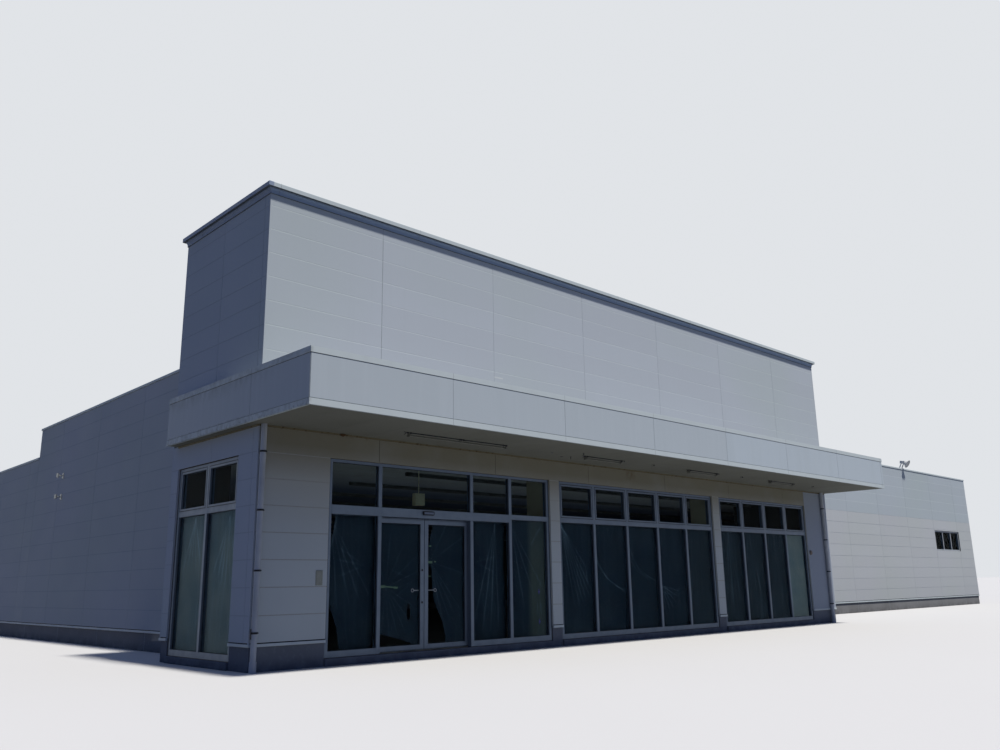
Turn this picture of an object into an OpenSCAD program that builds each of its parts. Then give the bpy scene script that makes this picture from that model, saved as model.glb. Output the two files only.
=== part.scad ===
// Single-storey supermarket building at half scale, in millimetres.
// X runs along the front to the right, Y runs into the building, Z is up.
// The origin is on the ground, on the centre line of the sliding entrance door,
// in the plane of the entrance front wall.

/* [Siding and walls] */
// Height of one row of wall siding
row_h = 227.5; // [210:0.5:245]
// Thickness of every outer wall
wall_t = 80; // [60:1:100]
// Rows of siding from the plinth to the window heads
head_rows = 7; // [7:1:8]
// Rows of siding on the high part of the main block
main_rows = 13; // [12:1:15]
// Rows by which the rear part of the main block is lower
step_rows = 2; // [1:1:3]
// Height of the entrance tower, to the top of its cornice
tower_h = 4305; // [4000:5:4800]
// Height by which the top row of the main block is cut for the coping
coping_cut = 30; // [20:1:40]

/* [Ground works] */
// Height of the concrete plinth
plinth_h = 222; // [180:1:260]
// How far the plinth stands back from the siding
plinth_inset = 8; // [4:1:15]
// Level of the shop floor and of the sills
floor_z = 64; // [40:1:90]
// How far the kerbs under the glazing stand out in front of the siding
sill_out = 12; // [4:1:30]
// Height of the flashing strip at the foot of the siding
flashing_h = 24; // [16:1:40]
// How far the flashing strip stands out
flashing_out = 10; // [6:1:16]

/* [Entrance block] */
// Depth of the entrance block
entry_d = 1750; // [1700:5:2000]
// Width of the wall piers at both ends of the front
end_pier_w = 725; // [600:5:900]
// Width of the pier right of the door bay
pier_a_w = 160; // [140:2:260]
// Width of the pier between the two window groups
pier_b_w = 170; // [140:2:260]
// Depth of the casings behind the two inner piers
casing_d = 285; // [150:5:400]

/* [Door bay] */
// Distance between the posts on both sides of the sliding door
door_w = 1160; // [1000:4:1300]
// Width of the fixed pane left of the door
side_pane_w = 575; // [560:1:660]
// Width of the first fixed pane right of the door
pane_b_w = 555; // [550:1:660]
// Width of the last fixed pane of the door bay
pane_c_w = 605; // [500:1:700]
// Underside of the door header
header_z = 1312; // [1200:2:1340]
// Height of the door header
header_h = 84; // [78:1:100]
// Thickness of the door header's rear wall, behind the channel for the sliding gear
header_wall = 7; // [5:1:20]
// Diameter of the wheels that a leaf hangs from
wheel_d = 40; // [30:1:44]
// Width of one of these wheels
wheel_w = 14; // [10:1:16]
// Distance from a leaf's end to the middle of its hanger
hanger_in = 60; // [50:1:120]
// Thickness of a door leaf
leaf_t = 30; // [20:1:32]
// Clearance of a door leaf to what it slides past
leaf_gap = 6; // [5:0.5:8]
// How far a closed leaf laps over the post beside it
leaf_lap = 15; // [5:1:18]
// Width of the upright members of a door leaf
stile_w = 46; // [36:1:60]
// Height of the top and bottom members of a door leaf
leaf_rail_h = 48; // [36:1:70]
// How far each leaf slides open
leaf_travel = 520; // [400:5:540]

/* [Window frames] */
// Columns of the middle window group
mid_cols = 5; // [4:1:6]
// Distance between posts in the middle group
mid_pitch = 624; // [560:2:680]
// Columns of the right window group
right_cols = 4; // [3:1:5]
// Distance between posts in the right group
right_pitch = 612.5; // [560:0.5:680]
// Width of a window post
post_w = 40; // [30:2:50]
// Depth of the window frames
frame_d = 50; // [40:1:55]
// How far the window frames stand back from the siding
frame_in = 20; // [14:1:24]
// Height of the rail along the window heads
head_rail_h = 30; // [20:1:50]
// Height of the rail along the sills
sill_rail_h = 58; // [40:1:80]
// Width of the vent sashes above the cross rail, with the groove round them
sash_w = 24; // [16:1:34]
// Underside of the cross rail below the vents
cross_z = 1345; // [1200:1:1400]
// Height of the cross rail
cross_h = 53; // [30:1:60]
// Thickness of the window glass
glass_t = 6; // [4:1:10]

/* [Side and wing windows] */
// Distance from the front to the side window
side_win_y = 350; // [250:5:450]
// Distance from the side window to the rear of the entrance block
side_win_in = 150; // [110:5:500]
// Distance from the wing window to the right end of the building
wing_win_in = 860; // [400:10:2000]
// Width of the wing window
wing_win_w = 1555; // [1200:5:2000]
// Sill of the wing window
wing_sill_z = 1310; // [1000:5:1500]
// Height of the wing window
wing_win_h = 476; // [350:2:600]

/* [Canopy] */
// How far the canopy stands out in front
canopy_d = 1000; // [800:5:1200]
// How far the canopy stands out on the left side
canopy_side = 116; // [60:2:200]
// How far the canopy's rear end stays in front of the entrance block's rear wall
canopy_end_in = 100; // [20:5:400]
// Underside of the canopy
soffit_z = 2045; // [2041:0.5:2200]
// Height of the canopy fascia
canopy_h = 469; // [300:1:600]
// Height of the coping strip along the top of the fascia
canopy_coping_h = 50; // [30:1:80]
// Height of the trim strip along the foot of the fascia
canopy_trim_h = 52; // [30:1:80]
// How far the coping strip stands out
canopy_coping_out = 6; // [2:1:12]
// How far the trim strip stands out
canopy_trim_out = 4; // [2:1:12]
// Thickness of the canopy's panels
panel_t = 20; // [12:1:30]

/* [Tower top] */
// Height of the cap of the cornice
cap_h = 46; // [30:1:70]
// How far the cap stands out
cap_out = 50; // [30:1:80]
// Height of the moulding under the cap
moulding_h = 54; // [30:1:80]
// How far the moulding stands out
moulding_out = 25; // [10:1:30]
// Slope of the cap's upper edge
cap_edge = 6; // [2:1:12]
// How far the cap's top falls toward the roof
cap_fall = 8; // [4:1:16]

/* [Main block] */
// Length of the main block
main_w = 20715; // [18000:5:21000]
// Distance from the entrance's left wall to the main block's left wall
main_inset = 505; // [200:5:900]
// Distance from the entrance front to the main block's front wall
main_front = 1480; // [1300:5:1600]
// Distance from the entrance front to the step in the roof
step_y = 8060; // [6000:10:9000]
// Distance from the entrance front to the rear wall's outer face
rear_y = 12600; // [11000:10:14000]
// Height of the parapet copings
coping_h = 34; // [20:1:60]
// How far the parapet copings stand out on each side
coping_out = 14; // [4:1:20]
// Slope of a coping's outer edge
coping_edge = 5; // [2:1:10]
// How far a coping's top falls toward the roof
coping_fall = 8; // [4:1:16]

/* [Roof and ceiling] */
// Depth of the roof deck below the parapet
deck_drop = 110; // [80:1:200]
// Height of the deck's ribs
rib_h = 60; // [40:1:90]
// Distance between the deck's ribs
rib_pitch = 250; // [240:10:400]
// Width of a rib at its crown
rib_top_w = 60; // [40:2:90]
// Thickness of the deck under the ribs
deck_t = 20; // [12:1:40]
// Underside of the ceiling
ceiling_z = 1950; // [1900:5:2100]
// Thickness of the ceiling
ceiling_t = 12; // [8:1:30]
// Distance between the rows of ceiling lights
light_row_pitch = 1155; // [900:5:1400]
// Width of a row of ceiling lights
light_row_w = 40; // [24:2:60]
// Height of a row of ceiling lights
light_row_h = 30; // [16:1:45]

/* [Fittings] */
// Diameter of the downpipes
pipe_d = 50; // [40:1:60]
// Distance between the pipe clamps
clamp_pitch = 498; // [400:1:600]
// Length of one strip light under the canopy
strip_light_l = 620; // [500:5:700]
// Distance from the entrance block's right corner to the right downpipe
right_pipe_in = 185; // [40:1:400]
// Distance from the entrance block to the middle of the floodlight
flood_offset = 7105; // [3000:5:9000]
// Diameter of the floodlight's face
flood_d = 190; // [150:2:210]
// Depth of the floodlight's reflector
flood_depth = 80; // [60:1:110]
// Tilt of the floodlight below the level
flood_tilt = 33; // [0:1:50]

/* [Hidden] */
$fn = 24;

// Plan positions along X
door_x0 = -door_w / 2;
door_x1 = door_w / 2;
bay_x0 = door_x0 - side_pane_w;
bay_x1 = door_x1 + pane_b_w + pane_c_w;
mid_x0 = bay_x1 + pier_a_w;
mid_x1 = mid_x0 + mid_cols * mid_pitch;
right_x0 = mid_x1 + pier_b_w;
right_x1 = right_x0 + right_cols * right_pitch;
entry_x0 = bay_x0 - end_pier_w;
entry_x1 = right_x1 + end_pier_w;
main_x0 = entry_x0 + main_inset;
main_x1 = main_x0 + main_w;

// Levels
head_z = plinth_h + head_rows * row_h;
high_z = plinth_h + main_rows * row_h - coping_cut;
low_z = high_z - step_rows * row_h;
tower_top = tower_h - cap_h;
deck_high_z = high_z - deck_drop - rib_h - deck_t;
deck_low_z = low_z - deck_drop - rib_h - deck_t;
canopy_top = soffit_z + canopy_h;
canopy_return = entry_d - canopy_end_in;
tower_deck_z = tower_top - deck_drop;

// Front window plane
frame_y0 = frame_in;
frame_y1 = frame_y0 + frame_d;
glass_y = frame_y0 + (frame_d - glass_t) / 2;
leaf_y0 = frame_y1 + leaf_gap;
leaf_y1 = leaf_y0 + leaf_t;
leaf_mid_y = leaf_y0 + leaf_t / 2;
leaf_foot_gap = 8;
leaf_z0 = floor_z + leaf_foot_gap;
leaf_z1 = header_z - leaf_gap;
cross_top = header_z + header_h;
sheet_t = 2;
sheet_gap = 10;
sheet_y = leaf_y1 + sheet_t + sheet_gap;
sheet_lift = 12;
sheet_side = 4;
sheet_lap = 20;
leaf_sheet_in = 10;

// Channel in the header, open below, in which the hangers of the leaves run
track_gap = 5;
track_lip = 14;
track_end = 30;
neck_w = 24;
neck_t = 12;
wheel_gap = 2;
axle_d = 10;
track_half = neck_t / 2 + wheel_gap + wheel_w + track_gap;
track_z0 = header_z + track_lip;
track_z1 = track_z0 + wheel_d + 2 * track_gap;
axle_z = (track_z0 + track_z1) / 2;
header_y1 = leaf_mid_y + track_half + header_wall;

// Columns of the door bay between their posts
post_bc_x0 = door_x1 + pane_b_w - post_w / 2;
bay_lower = [[bay_x0 + post_w, door_x0 - post_w / 2], [door_x1 + post_w / 2, post_bc_x0]];
bay_upper = [[bay_x0 + post_w, door_x0 - post_w / 2], [door_x0 + post_w / 2, door_x1 - post_w / 2],
  [door_x1 + post_w / 2, post_bc_x0]];
leaf_x0 = door_x0 + post_w / 2 - leaf_lap;
leaf_x1 = -leaf_gap / 2;
leaf_glass_y = leaf_y0 + (leaf_t - glass_t) / 2;
sensor_w = 136;
sensor_h = 40;
sensor_d = 18;
sensor_up = 30;
sensor_round = 12;

// Vents above the cross rail
vent_z0 = cross_z + cross_h;
vent_z1 = head_z - head_rail_h;
sash_groove_w = 4;
sash_groove_d = 14;

// Side and wing windows
side_win_y1 = entry_d - side_win_in;
side_win_w = side_win_y1 - side_win_y;
wing_win_x0 = main_x1 - wing_win_in - wing_win_w;

// Fittings
pipe_in = 28;
pipe_gap = 2;
pipe_y = flashing_out + pipe_gap + pipe_d / 2;
pipe_foot_h = 86;
pipe_foot_wide = 5;
clamp_wide = 4;
clamp_arm_w = 16;
clamp_z0 = 304;
clamp_h = 14;
clamp_count = 4;
light_x = [0, 2160, 4140, 6130];
light_y = 460;
light_w = 44;
light_foot_w = 30;
light_h = 22;
tube_d = 14;
tube_gap = 3;
holder_t = 16;
flood_plate = [176, 50, 8];
flood_pivot = [-24, 175];
flood_box = [100, 105, 60];
flood_box_tilt = 10;
flood_face_at = [-104, -52];
flood_neck_d = 56;
flood_rim = 8;
flood_step = 4;
flood_lens_in = 4;
flood_arm_t = 8;
flood_arm_w = 22;
flood_arm_gap = 12;
flood_arm_sunk = 4;
flood_pin_d = 14;
bracket_y = 6804;
bracket_z = [2005, 2312];
ceiling_joint = 6;
light_row_y = 1265;
light_row_end = 100;
light_rows = floor((rear_y - wall_t - light_row_y - light_row_end) / light_row_pitch) + 1;
row_light_x0 = 670;
first_row_end = 200;
other_row_end = 400;
hang_x = 715;
hang_y = 1085;
hang_z = 1555;
hang_size = [134, 60, 135];
hang_rod_d = 10;
side_cols = 2;
wing_cols = 3;

// Solid between two opposite corners
module block(lo, hi) {
  translate(lo) cube(hi - lo);
}

// Outline of the canopy in plan; it widens by out and runs along two walls
module canopy_outline(out) {
  polygon([
    [entry_x0 - canopy_side - out, -canopy_d - out], [entry_x1 + out, -canopy_d - out],
    [entry_x1 + out, 0], [entry_x0, 0],
    [entry_x0, canopy_return + out], [entry_x0 - canopy_side - out, canopy_return + out]]);
}

// Strip of the given width just inside the canopy's outline, standing out by out
module canopy_strip(z, h, out) {
  translate([0, 0, z]) linear_extrude(h) difference() {
    canopy_outline(out);
    canopy_outline(-panel_t);
  }
}

// Thin slab over the tower's plan, moved in by inset
module tower_slab(inset, z, h) {
  block([entry_x0 + inset, inset, z], [entry_x1 - inset, entry_d - inset, z + h]);
}

// Both sides of a wall's section that is w wide; profile holds how far it stands out and the level
function both_sides(w, profile) = concat(
  [for (p = profile) [w + p[0], p[1]]],
  [for (i = [len(profile) - 1 : -1 : 0]) [-profile[i][0], profile[i][1]]]);

// Mass of the tower whose four sides all have that profile, mitred at the corners
module tower_mass(profile) {
  reach = 2 * cap_out;
  w = entry_x1 - entry_x0;
  intersection() {
    translate([entry_x0, entry_d + reach, 0]) rotate([90, 0, 0])
      linear_extrude(entry_d + 2 * reach) polygon(both_sides(w, profile));
    translate([entry_x0 - reach, 0, 0]) rotate([90, 0, 90])
      linear_extrude(w + 2 * reach) polygon(both_sides(entry_d, profile));
  }
}

// Outline of the whole building in plan, moved in by inset
module footprint(inset) {
  polygon([
    [entry_x0 + inset, inset], [entry_x1 - inset, inset],
    [entry_x1 - inset, main_front + inset], [main_x1 - inset, main_front + inset],
    [main_x1 - inset, rear_y - inset], [main_x0 + inset, rear_y - inset],
    [main_x0 + inset, entry_d - inset], [entry_x0 + inset, entry_d - inset]]);
}

// Folded metal deck whose ribs run along Y
module ribbed_deck(x0, x1, y0, y1, z) {
  count = floor((x1 - x0) / rib_pitch);
  first = x0 + (x1 - x0 - (count - 1) * rib_pitch) / 2;
  foot = rib_top_w / 2 + rib_h / 2;
  translate([0, y1, z]) rotate([90, 0, 0]) linear_extrude(y1 - y0) polygon(concat(
    [[x1, 0], [x0, 0], [x0, deck_t]],
    [for (i = [0 : count - 1]) each [
      [first + i * rib_pitch - foot, deck_t], [first + i * rib_pitch - rib_top_w / 2, deck_t + rib_h],
      [first + i * rib_pitch + rib_top_w / 2, deck_t + rib_h], [first + i * rib_pitch + foot, deck_t]]],
    [[x1, deck_t]]));
}

// Frame of the wing window, with one row of openings
module bar_frame(columns) {
  pitch = (wing_win_w - head_rail_h) / columns;
  difference() {
    block([0, 0, 0], [wing_win_w, frame_d, wing_win_h]);
    for (i = [0 : columns - 1])
      block([head_rail_h + i * pitch, -1, head_rail_h],
        [(i + 1) * pitch, frame_d + 1, wing_win_h - head_rail_h]);
  }
}

module bar_glass(columns) {
  pitch = (wing_win_w - head_rail_h) / columns;
  for (i = [0 : columns - 1])
    block([head_rail_h + i * pitch, 0, head_rail_h], [(i + 1) * pitch, glass_t, wing_win_h - head_rail_h]);
}

// Hanger of a leaf: a neck through the header's slot with a wheel on each side
module hanger() {
  block([-neck_w / 2, -neck_t / 2, leaf_z1 - 1], [neck_w / 2, neck_t / 2, axle_z + neck_w / 2]);
  translate([0, 0, axle_z]) rotate([90, 0, 0]) {
    cylinder(d = axle_d, h = 2 * (track_half - track_gap), center = true);
    for (side = [-1, 1]) translate([0, 0, side * (neck_t / 2 + wheel_gap + wheel_w / 2)])
      cylinder(d = wheel_d, h = wheel_w, center = true);
  }
}

// Left leaf of the sliding door: two stiles, two rails and the two hangers that carry it
module door_leaf() {
  difference() {
    block([leaf_x0, leaf_y0, leaf_z0], [leaf_x1, leaf_y1, leaf_z1]);
    block([leaf_x0 + stile_w, leaf_y0 - 1, leaf_z0 + leaf_rail_h],
      [leaf_x1 - stile_w, leaf_y1 + 1, leaf_z1 - leaf_rail_h]);
  }
  for (x = [leaf_x0 + hanger_in, leaf_x1 - hanger_in]) translate([x, leaf_mid_y, 0]) hanger();
}

module door_glass() {
  block([leaf_x0 + stile_w, leaf_glass_y, leaf_z0 + leaf_rail_h],
    [leaf_x1 - stile_w, leaf_glass_y + glass_t, leaf_z1 - leaf_rail_h]);
}

// Plastic sheet taped to the inner face of a leaf
module door_sheet() {
  block([leaf_x0 + leaf_sheet_in, leaf_y1, leaf_z0 + leaf_sheet_in],
    [leaf_x1 - leaf_sheet_in, leaf_y1 + sheet_t, leaf_z1 - leaf_sheet_in]);
}

// Left and right edge of one opening in a frame of the given width
function opening_x(w, columns, i) = [
  i == 0 ? post_w : i * w / columns + post_w / 2,
  i == columns - 1 ? w - post_w : (i + 1) * w / columns - post_w / 2];

// Window frame in the XZ plane with posts and rails, cut from one slab.
// The lower openings are tall. The vents above the cross rail have a sash of their own,
// set off by a groove in the front.
module grid_frame(w, columns) {
  difference() {
    block([0, 0, floor_z], [w, frame_d, head_z]);
    for (i = [0 : columns - 1]) {
      x = opening_x(w, columns, i);
      block([x[0], -1, floor_z + sill_rail_h], [x[1], frame_d + 1, cross_z]);
      block([x[0] + sash_w, -1, vent_z0 + sash_w], [x[1] - sash_w, frame_d + 1, vent_z1 - sash_w]);
      difference() {
        block([x[0], -1, vent_z0], [x[1], sash_groove_d, vent_z1]);
        block([x[0] + sash_groove_w, -2, vent_z0 + sash_groove_w],
          [x[1] - sash_groove_w, sash_groove_d + 1, vent_z1 - sash_groove_w]);
      }
    }
  }
}

// Panes of glass that fill such a frame
module grid_glass(w, columns) {
  for (i = [0 : columns - 1]) {
    x = opening_x(w, columns, i);
    block([x[0], 0, floor_z + sill_rail_h], [x[1], glass_t, cross_z]);
    block([x[0] + sash_w, 0, vent_z0 + sash_w], [x[1] - sash_w, glass_t, vent_z1 - sash_w]);
  }
}

module floor_slab() {
  color("gray") linear_extrude(floor_z) polygon([
    [entry_x0 + wall_t, wall_t], [entry_x1 - wall_t, wall_t],
    [entry_x1 - wall_t, entry_d - wall_t], [entry_x1 - plinth_inset, entry_d - wall_t],
    [entry_x1 - plinth_inset, main_front + wall_t], [main_x1 - wall_t, main_front + wall_t],
    [main_x1 - wall_t, rear_y - wall_t], [main_x0 + wall_t, rear_y - wall_t],
    [main_x0 + wall_t, entry_d - wall_t], [entry_x0 + wall_t, entry_d - wall_t]]);
}

// Low concrete kerbs under the glazing, level with the floor
module entrance_sill() {
  color("darkgray") {
    for (x = [[bay_x0, bay_x1], [mid_x0, mid_x1], [right_x0, right_x1]])
      block([x[0], -sill_out, 0], [x[1], wall_t, floor_z]);
    block([entry_x0 - sill_out, side_win_y, 0], [entry_x0 + wall_t, side_win_y1, floor_z]);
  }
}

module entrance_plinth() {
  color("darkgray") {
    for (x = [[entry_x0 + plinth_inset, bay_x0], [bay_x1, mid_x0], [mid_x1, right_x0],
        [right_x1, entry_x1 - plinth_inset]])
      block([x[0], plinth_inset, 0], [x[1], wall_t, plinth_h]);
    block([entry_x0 + plinth_inset, wall_t, 0], [entry_x0 + wall_t, side_win_y, plinth_h]);
    block([entry_x0 + plinth_inset, side_win_y1, 0], [entry_x0 + wall_t, entry_d - plinth_inset, plinth_h]);
    block([entry_x0 + wall_t, entry_d - wall_t, 0], [main_x0 + wall_t, entry_d - plinth_inset, plinth_h]);
    block([entry_x1 - wall_t, wall_t, 0], [entry_x1 - plinth_inset, entry_d - wall_t, plinth_h]);
  }
}

module main_plinth_sides() {
  color("darkgray") {
    block([main_x0 + plinth_inset, entry_d - plinth_inset, 0], [main_x0 + wall_t, rear_y - wall_t, plinth_h]);
    block([main_x1 - wall_t, main_front + wall_t, 0], [main_x1 - plinth_inset, rear_y - wall_t, plinth_h]);
  }
}

module main_plinth_ends() {
  color("darkgray") {
    block([entry_x1 - plinth_inset, main_front + plinth_inset, 0],
      [main_x1 - plinth_inset, main_front + wall_t, plinth_h]);
    block([main_x0 + plinth_inset, rear_y - wall_t, 0],
      [main_x1 - plinth_inset, rear_y - plinth_inset, plinth_h]);
  }
}

// Drip flashing under the lowest row of siding, interrupted by the glazing
module base_flashing() {
  color("lightsteelblue") translate([0, 0, plinth_h - flashing_h]) difference() {
    linear_extrude(flashing_h) difference() {
      footprint(-flashing_out);
      footprint(plinth_inset);
    }
    for (x = [[bay_x0, bay_x1], [mid_x0, mid_x1], [right_x0, right_x1]])
      block([x[0], -2 * flashing_out, -1], [x[1], wall_t, flashing_h + 1]);
    block([entry_x0 - 2 * flashing_out, side_win_y, -1], [entry_x0 + wall_t, side_win_y1, flashing_h + 1]);
  }
}

module front_piers() {
  color("whitesmoke")
    for (x = [[entry_x0, bay_x0], [bay_x1, mid_x0], [mid_x1, right_x0], [right_x1, entry_x1]])
      block([x[0], 0, plinth_h], [x[1], wall_t, head_z]);
}

module side_piers() {
  color("whitesmoke") {
    block([entry_x0, wall_t, plinth_h], [entry_x0 + wall_t, side_win_y, head_z]);
    block([entry_x0, side_win_y1, plinth_h], [entry_x0 + wall_t, entry_d - wall_t, head_z]);
  }
}

module tower_front_wall() {
  color("whitesmoke") block([entry_x0, 0, head_z], [entry_x1, wall_t, tower_top]);
}

// The left wall stands on the window heads, the right one on the plinth
module tower_side_walls() {
  color("whitesmoke") {
    block([entry_x0, wall_t, head_z], [entry_x0 + wall_t, entry_d - wall_t, tower_top]);
    block([entry_x1 - wall_t, wall_t, plinth_h], [entry_x1, entry_d - wall_t, tower_top]);
  }
}

module return_wall() {
  color("whitesmoke") block([entry_x0, entry_d - wall_t, plinth_h], [main_x0 + wall_t, entry_d, deck_high_z]);
}

module tower_back_wall() {
  color("whitesmoke") block([entry_x0, entry_d - wall_t, deck_high_z], [entry_x1, entry_d, tower_top]);
}

module tower_roof() {
  color("silver") block([entry_x0 + wall_t, wall_t, tower_deck_z],
    [entry_x1 - wall_t, entry_d - wall_t, tower_deck_z + deck_t]);
}

// Cornice: a cap over the wall tops, whose top falls inward, and a hollow moulding below it
module tower_cornice() {
  moulding_z = tower_top - moulding_h;
  lip = moulding_h / 9;
  hollow_out = 0.6 * moulding_out;
  hollow_h = moulding_h - 3 * lip;
  color("gainsboro") {
    difference() {
      tower_mass([[cap_out, tower_top], [cap_out, tower_h - cap_edge], [cap_out - cap_edge, tower_h]]);
      tower_slab(wall_t, tower_top - 1, cap_h + 2);
      hull() {
        tower_slab(wall_t, tower_h - cap_fall, 1);
        tower_slab(cap_edge - cap_out, tower_h, 1);
      }
    }
    difference() {
      tower_mass(concat([[moulding_out - hollow_out, moulding_z]],
        [for (a = [0 : 15 : 90]) [moulding_out - hollow_out * cos(a), moulding_z + lip + hollow_h * sin(a)]],
        [[moulding_out, tower_top]]));
      tower_slab(0, moulding_z - 1, moulding_h + 2);
    }
  }
}

module canopy_soffit() {
  color("lightgray") translate([0, 0, soffit_z]) linear_extrude(panel_t) canopy_outline(-panel_t);
}

module canopy_fascia() {
  color("white") canopy_strip(soffit_z + canopy_trim_h, canopy_h - canopy_trim_h - canopy_coping_h, 0);
}

module canopy_roof() {
  color("silver") translate([0, 0, canopy_top - canopy_coping_h - panel_t])
    linear_extrude(panel_t) canopy_outline(-panel_t);
}

module canopy_trims() {
  color("gainsboro") {
    canopy_strip(soffit_z, canopy_trim_h, canopy_trim_out);
    canopy_strip(canopy_top - canopy_coping_h, canopy_coping_h, canopy_coping_out);
  }
}

module side_walls_high() {
  color("whitesmoke") {
    block([main_x0, entry_d, plinth_h], [main_x0 + wall_t, step_y, high_z]);
    block([main_x1 - wall_t, main_front + wall_t, plinth_h], [main_x1, step_y, high_z]);
  }
}

module side_walls_low() {
  color("whitesmoke") for (x = [main_x0, main_x1 - wall_t])
    block([x, step_y, plinth_h], [x + wall_t, rear_y - wall_t, low_z]);
}

module back_wall() {
  color("whitesmoke") block([main_x0, rear_y - wall_t, plinth_h], [main_x1, rear_y, low_z]);
}

// Wall between the high and the low roof
module step_wall() {
  color("whitesmoke")
    block([main_x0 + wall_t, step_y - wall_t, deck_low_z], [main_x1 - wall_t, step_y, high_z]);
}

module wing_front_wall() {
  color("whitesmoke") difference() {
    block([entry_x1, main_front, plinth_h], [main_x1, main_front + wall_t, high_z]);
    block([wing_win_x0, main_front - 1, wing_sill_z],
      [wing_win_x0 + wing_win_w, main_front + wall_t + 1, wing_sill_z + wing_win_h]);
  }
}

// Ribbed metal roof, in a high and a low part on both sides of the step
module hall_roof() {
  color("silver") {
    ribbed_deck(main_x0 + wall_t, entry_x1, entry_d, step_y - wall_t, deck_high_z);
    ribbed_deck(entry_x1, main_x1 - wall_t, main_front + wall_t, step_y - wall_t, deck_high_z);
    ribbed_deck(main_x0 + wall_t, main_x1 - wall_t, step_y, rear_y - wall_t, deck_low_z);
  }
}

// Coping on a wall that runs from the origin along Y and has its outer face at X = 0.
// Its outer edge is sloped and its top falls toward the roof.
module coping(length) {
  translate([0, length, 0]) rotate([90, 0, 0]) linear_extrude(length) polygon([
    [-coping_out, 0], [wall_t + coping_out, 0], [wall_t + coping_out, coping_h - coping_fall],
    [coping_edge - coping_out, coping_h], [-coping_out, coping_h - coping_edge]]);
}

// Metal copings on the hall's parapets, which lap at the corners
module hall_copings() {
  front = main_front - coping_out;
  step = step_y + coping_out;
  rear = rear_y + coping_out;
  long = main_w + 2 * coping_out;
  color("gainsboro") {
    translate([0, 0, high_z]) {
      translate([main_x0, entry_d, 0]) coping(step - entry_d);
      translate([main_x1, front, 0]) mirror([1, 0, 0]) coping(step - front);
      translate([main_x0 - coping_out, step_y, 0]) rotate([0, 0, -90]) coping(long);
      translate([main_x1 + coping_out, main_front, 0]) rotate([0, 0, 90])
        coping(main_x1 + coping_out - entry_x1);
    }
    translate([0, 0, low_z]) {
      translate([main_x0, step_y, 0]) coping(rear - step_y);
      translate([main_x1, step_y, 0]) mirror([1, 0, 0]) coping(rear - step_y);
      translate([main_x0 - coping_out, rear_y, 0]) rotate([0, 0, -90]) coping(long);
    }
  }
}

// Downpipes at both ends of the front, with clamps and a wide foot
module downpipes() {
  color("white") for (x = [entry_x0 + pipe_in, entry_x1 - right_pipe_in]) {
    translate([x, -pipe_y, 0]) cylinder(d = pipe_d, h = soffit_z);
    translate([x, -pipe_y, 0]) cylinder(d = pipe_d + 2 * pipe_foot_wide, h = pipe_foot_h);
    for (i = [0 : clamp_count - 1]) {
      z = clamp_z0 + i * clamp_pitch;
      translate([x, -pipe_y, z]) cylinder(d = pipe_d + 2 * clamp_wide, h = clamp_h);
      block([x - clamp_arm_w / 2, -pipe_y, z], [x + clamp_arm_w / 2, 0, z + clamp_h]);
    }
  }
}

// Strip lights under the canopy, each a folded batten with a tube between two holders.
// The one over the door has twice the length.
module strip_lights() {
  color("white") for (i = [0 : len(light_x) - 1]) {
    half = i == 0 ? strip_light_l : strip_light_l / 2;
    translate([light_x[i], -light_y, soffit_z]) {
      translate([-half, 0, 0]) rotate([90, 0, 90]) linear_extrude(2 * half) polygon([
        [-light_w / 2, 0], [-light_foot_w / 2, -light_h], [light_foot_w / 2, -light_h], [light_w / 2, 0]]);
      translate([-half + holder_t / 2, 0, -light_h - tube_gap - tube_d / 2]) rotate([0, 90, 0])
        cylinder(d = tube_d, h = 2 * half - holder_t);
      for (x = [-half, half - holder_t])
        block([x, -light_w / 2, -light_h - tube_d - 2 * tube_gap], [x + holder_t, light_w / 2, 1 - light_h]);
    }
  }
}

// Head of the floodlight: a bell whose face looks down to the street, and its gear box.
// The origin is the middle of the box.
module flood_head() {
  rotate([flood_box_tilt, 0, 0]) cube(flood_box, center = true);
  translate([0, flood_face_at[0], flood_face_at[1]]) rotate([flood_tilt - 90, 0, 0]) difference() {
    union() {
      cylinder(d = flood_d, h = flood_rim);
      translate([0, 0, flood_rim - 1])
        cylinder(d1 = flood_d - 2 * flood_step, d2 = flood_neck_d, h = flood_depth - flood_rim + 1);
    }
    translate([0, 0, -1]) cylinder(d = flood_d - 4 * flood_step, h = flood_lens_in + 1);
  }
}

// Height of a coping's top at a distance from the outer face of its wall
function coping_level(y) =
  coping_h - coping_fall * (y + coping_out - coping_edge) / (wall_t + 2 * coping_out - coping_edge);

// Floodlight in a forked bracket on the wing's coping
module floodlight() {
  plate_y = [wall_t / 2 - flood_plate[1] / 2, wall_t / 2 + flood_plate[1] / 2];
  plate_top = coping_h + flood_plate[2];
  arm_x = flood_box[0] / 2 + flood_arm_gap;
  foot = [wall_t / 2, plate_top + flood_arm_w / 2 - flood_arm_sunk];
  lean = atan2(flood_pivot[1] - foot[1], flood_pivot[0] - foot[0]);
  color("silver") translate([entry_x1 + flood_offset, main_front, high_z]) {
    translate([-flood_plate[0] / 2, 0, 0]) rotate([90, 0, 90]) linear_extrude(flood_plate[0]) polygon([
      [plate_y[0], coping_level(plate_y[0])], [plate_y[1], coping_level(plate_y[1])],
      [plate_y[1], plate_top], [plate_y[0], plate_top]]);
    for (x = [-arm_x - flood_arm_t, arm_x]) translate([x, foot[0], foot[1]]) rotate([lean, 0, 0])
      translate([0, -flood_arm_w / 2, -flood_arm_w / 2])
        cube([flood_arm_t, norm(flood_pivot - foot) + flood_arm_w, flood_arm_w]);
    translate([0, flood_pivot[0], flood_pivot[1]]) {
      rotate([0, 90, 0]) cylinder(d = flood_pin_d, h = 2 * (arm_x + flood_arm_t / 2), center = true);
      flood_head();
    }
  }
}

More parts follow.
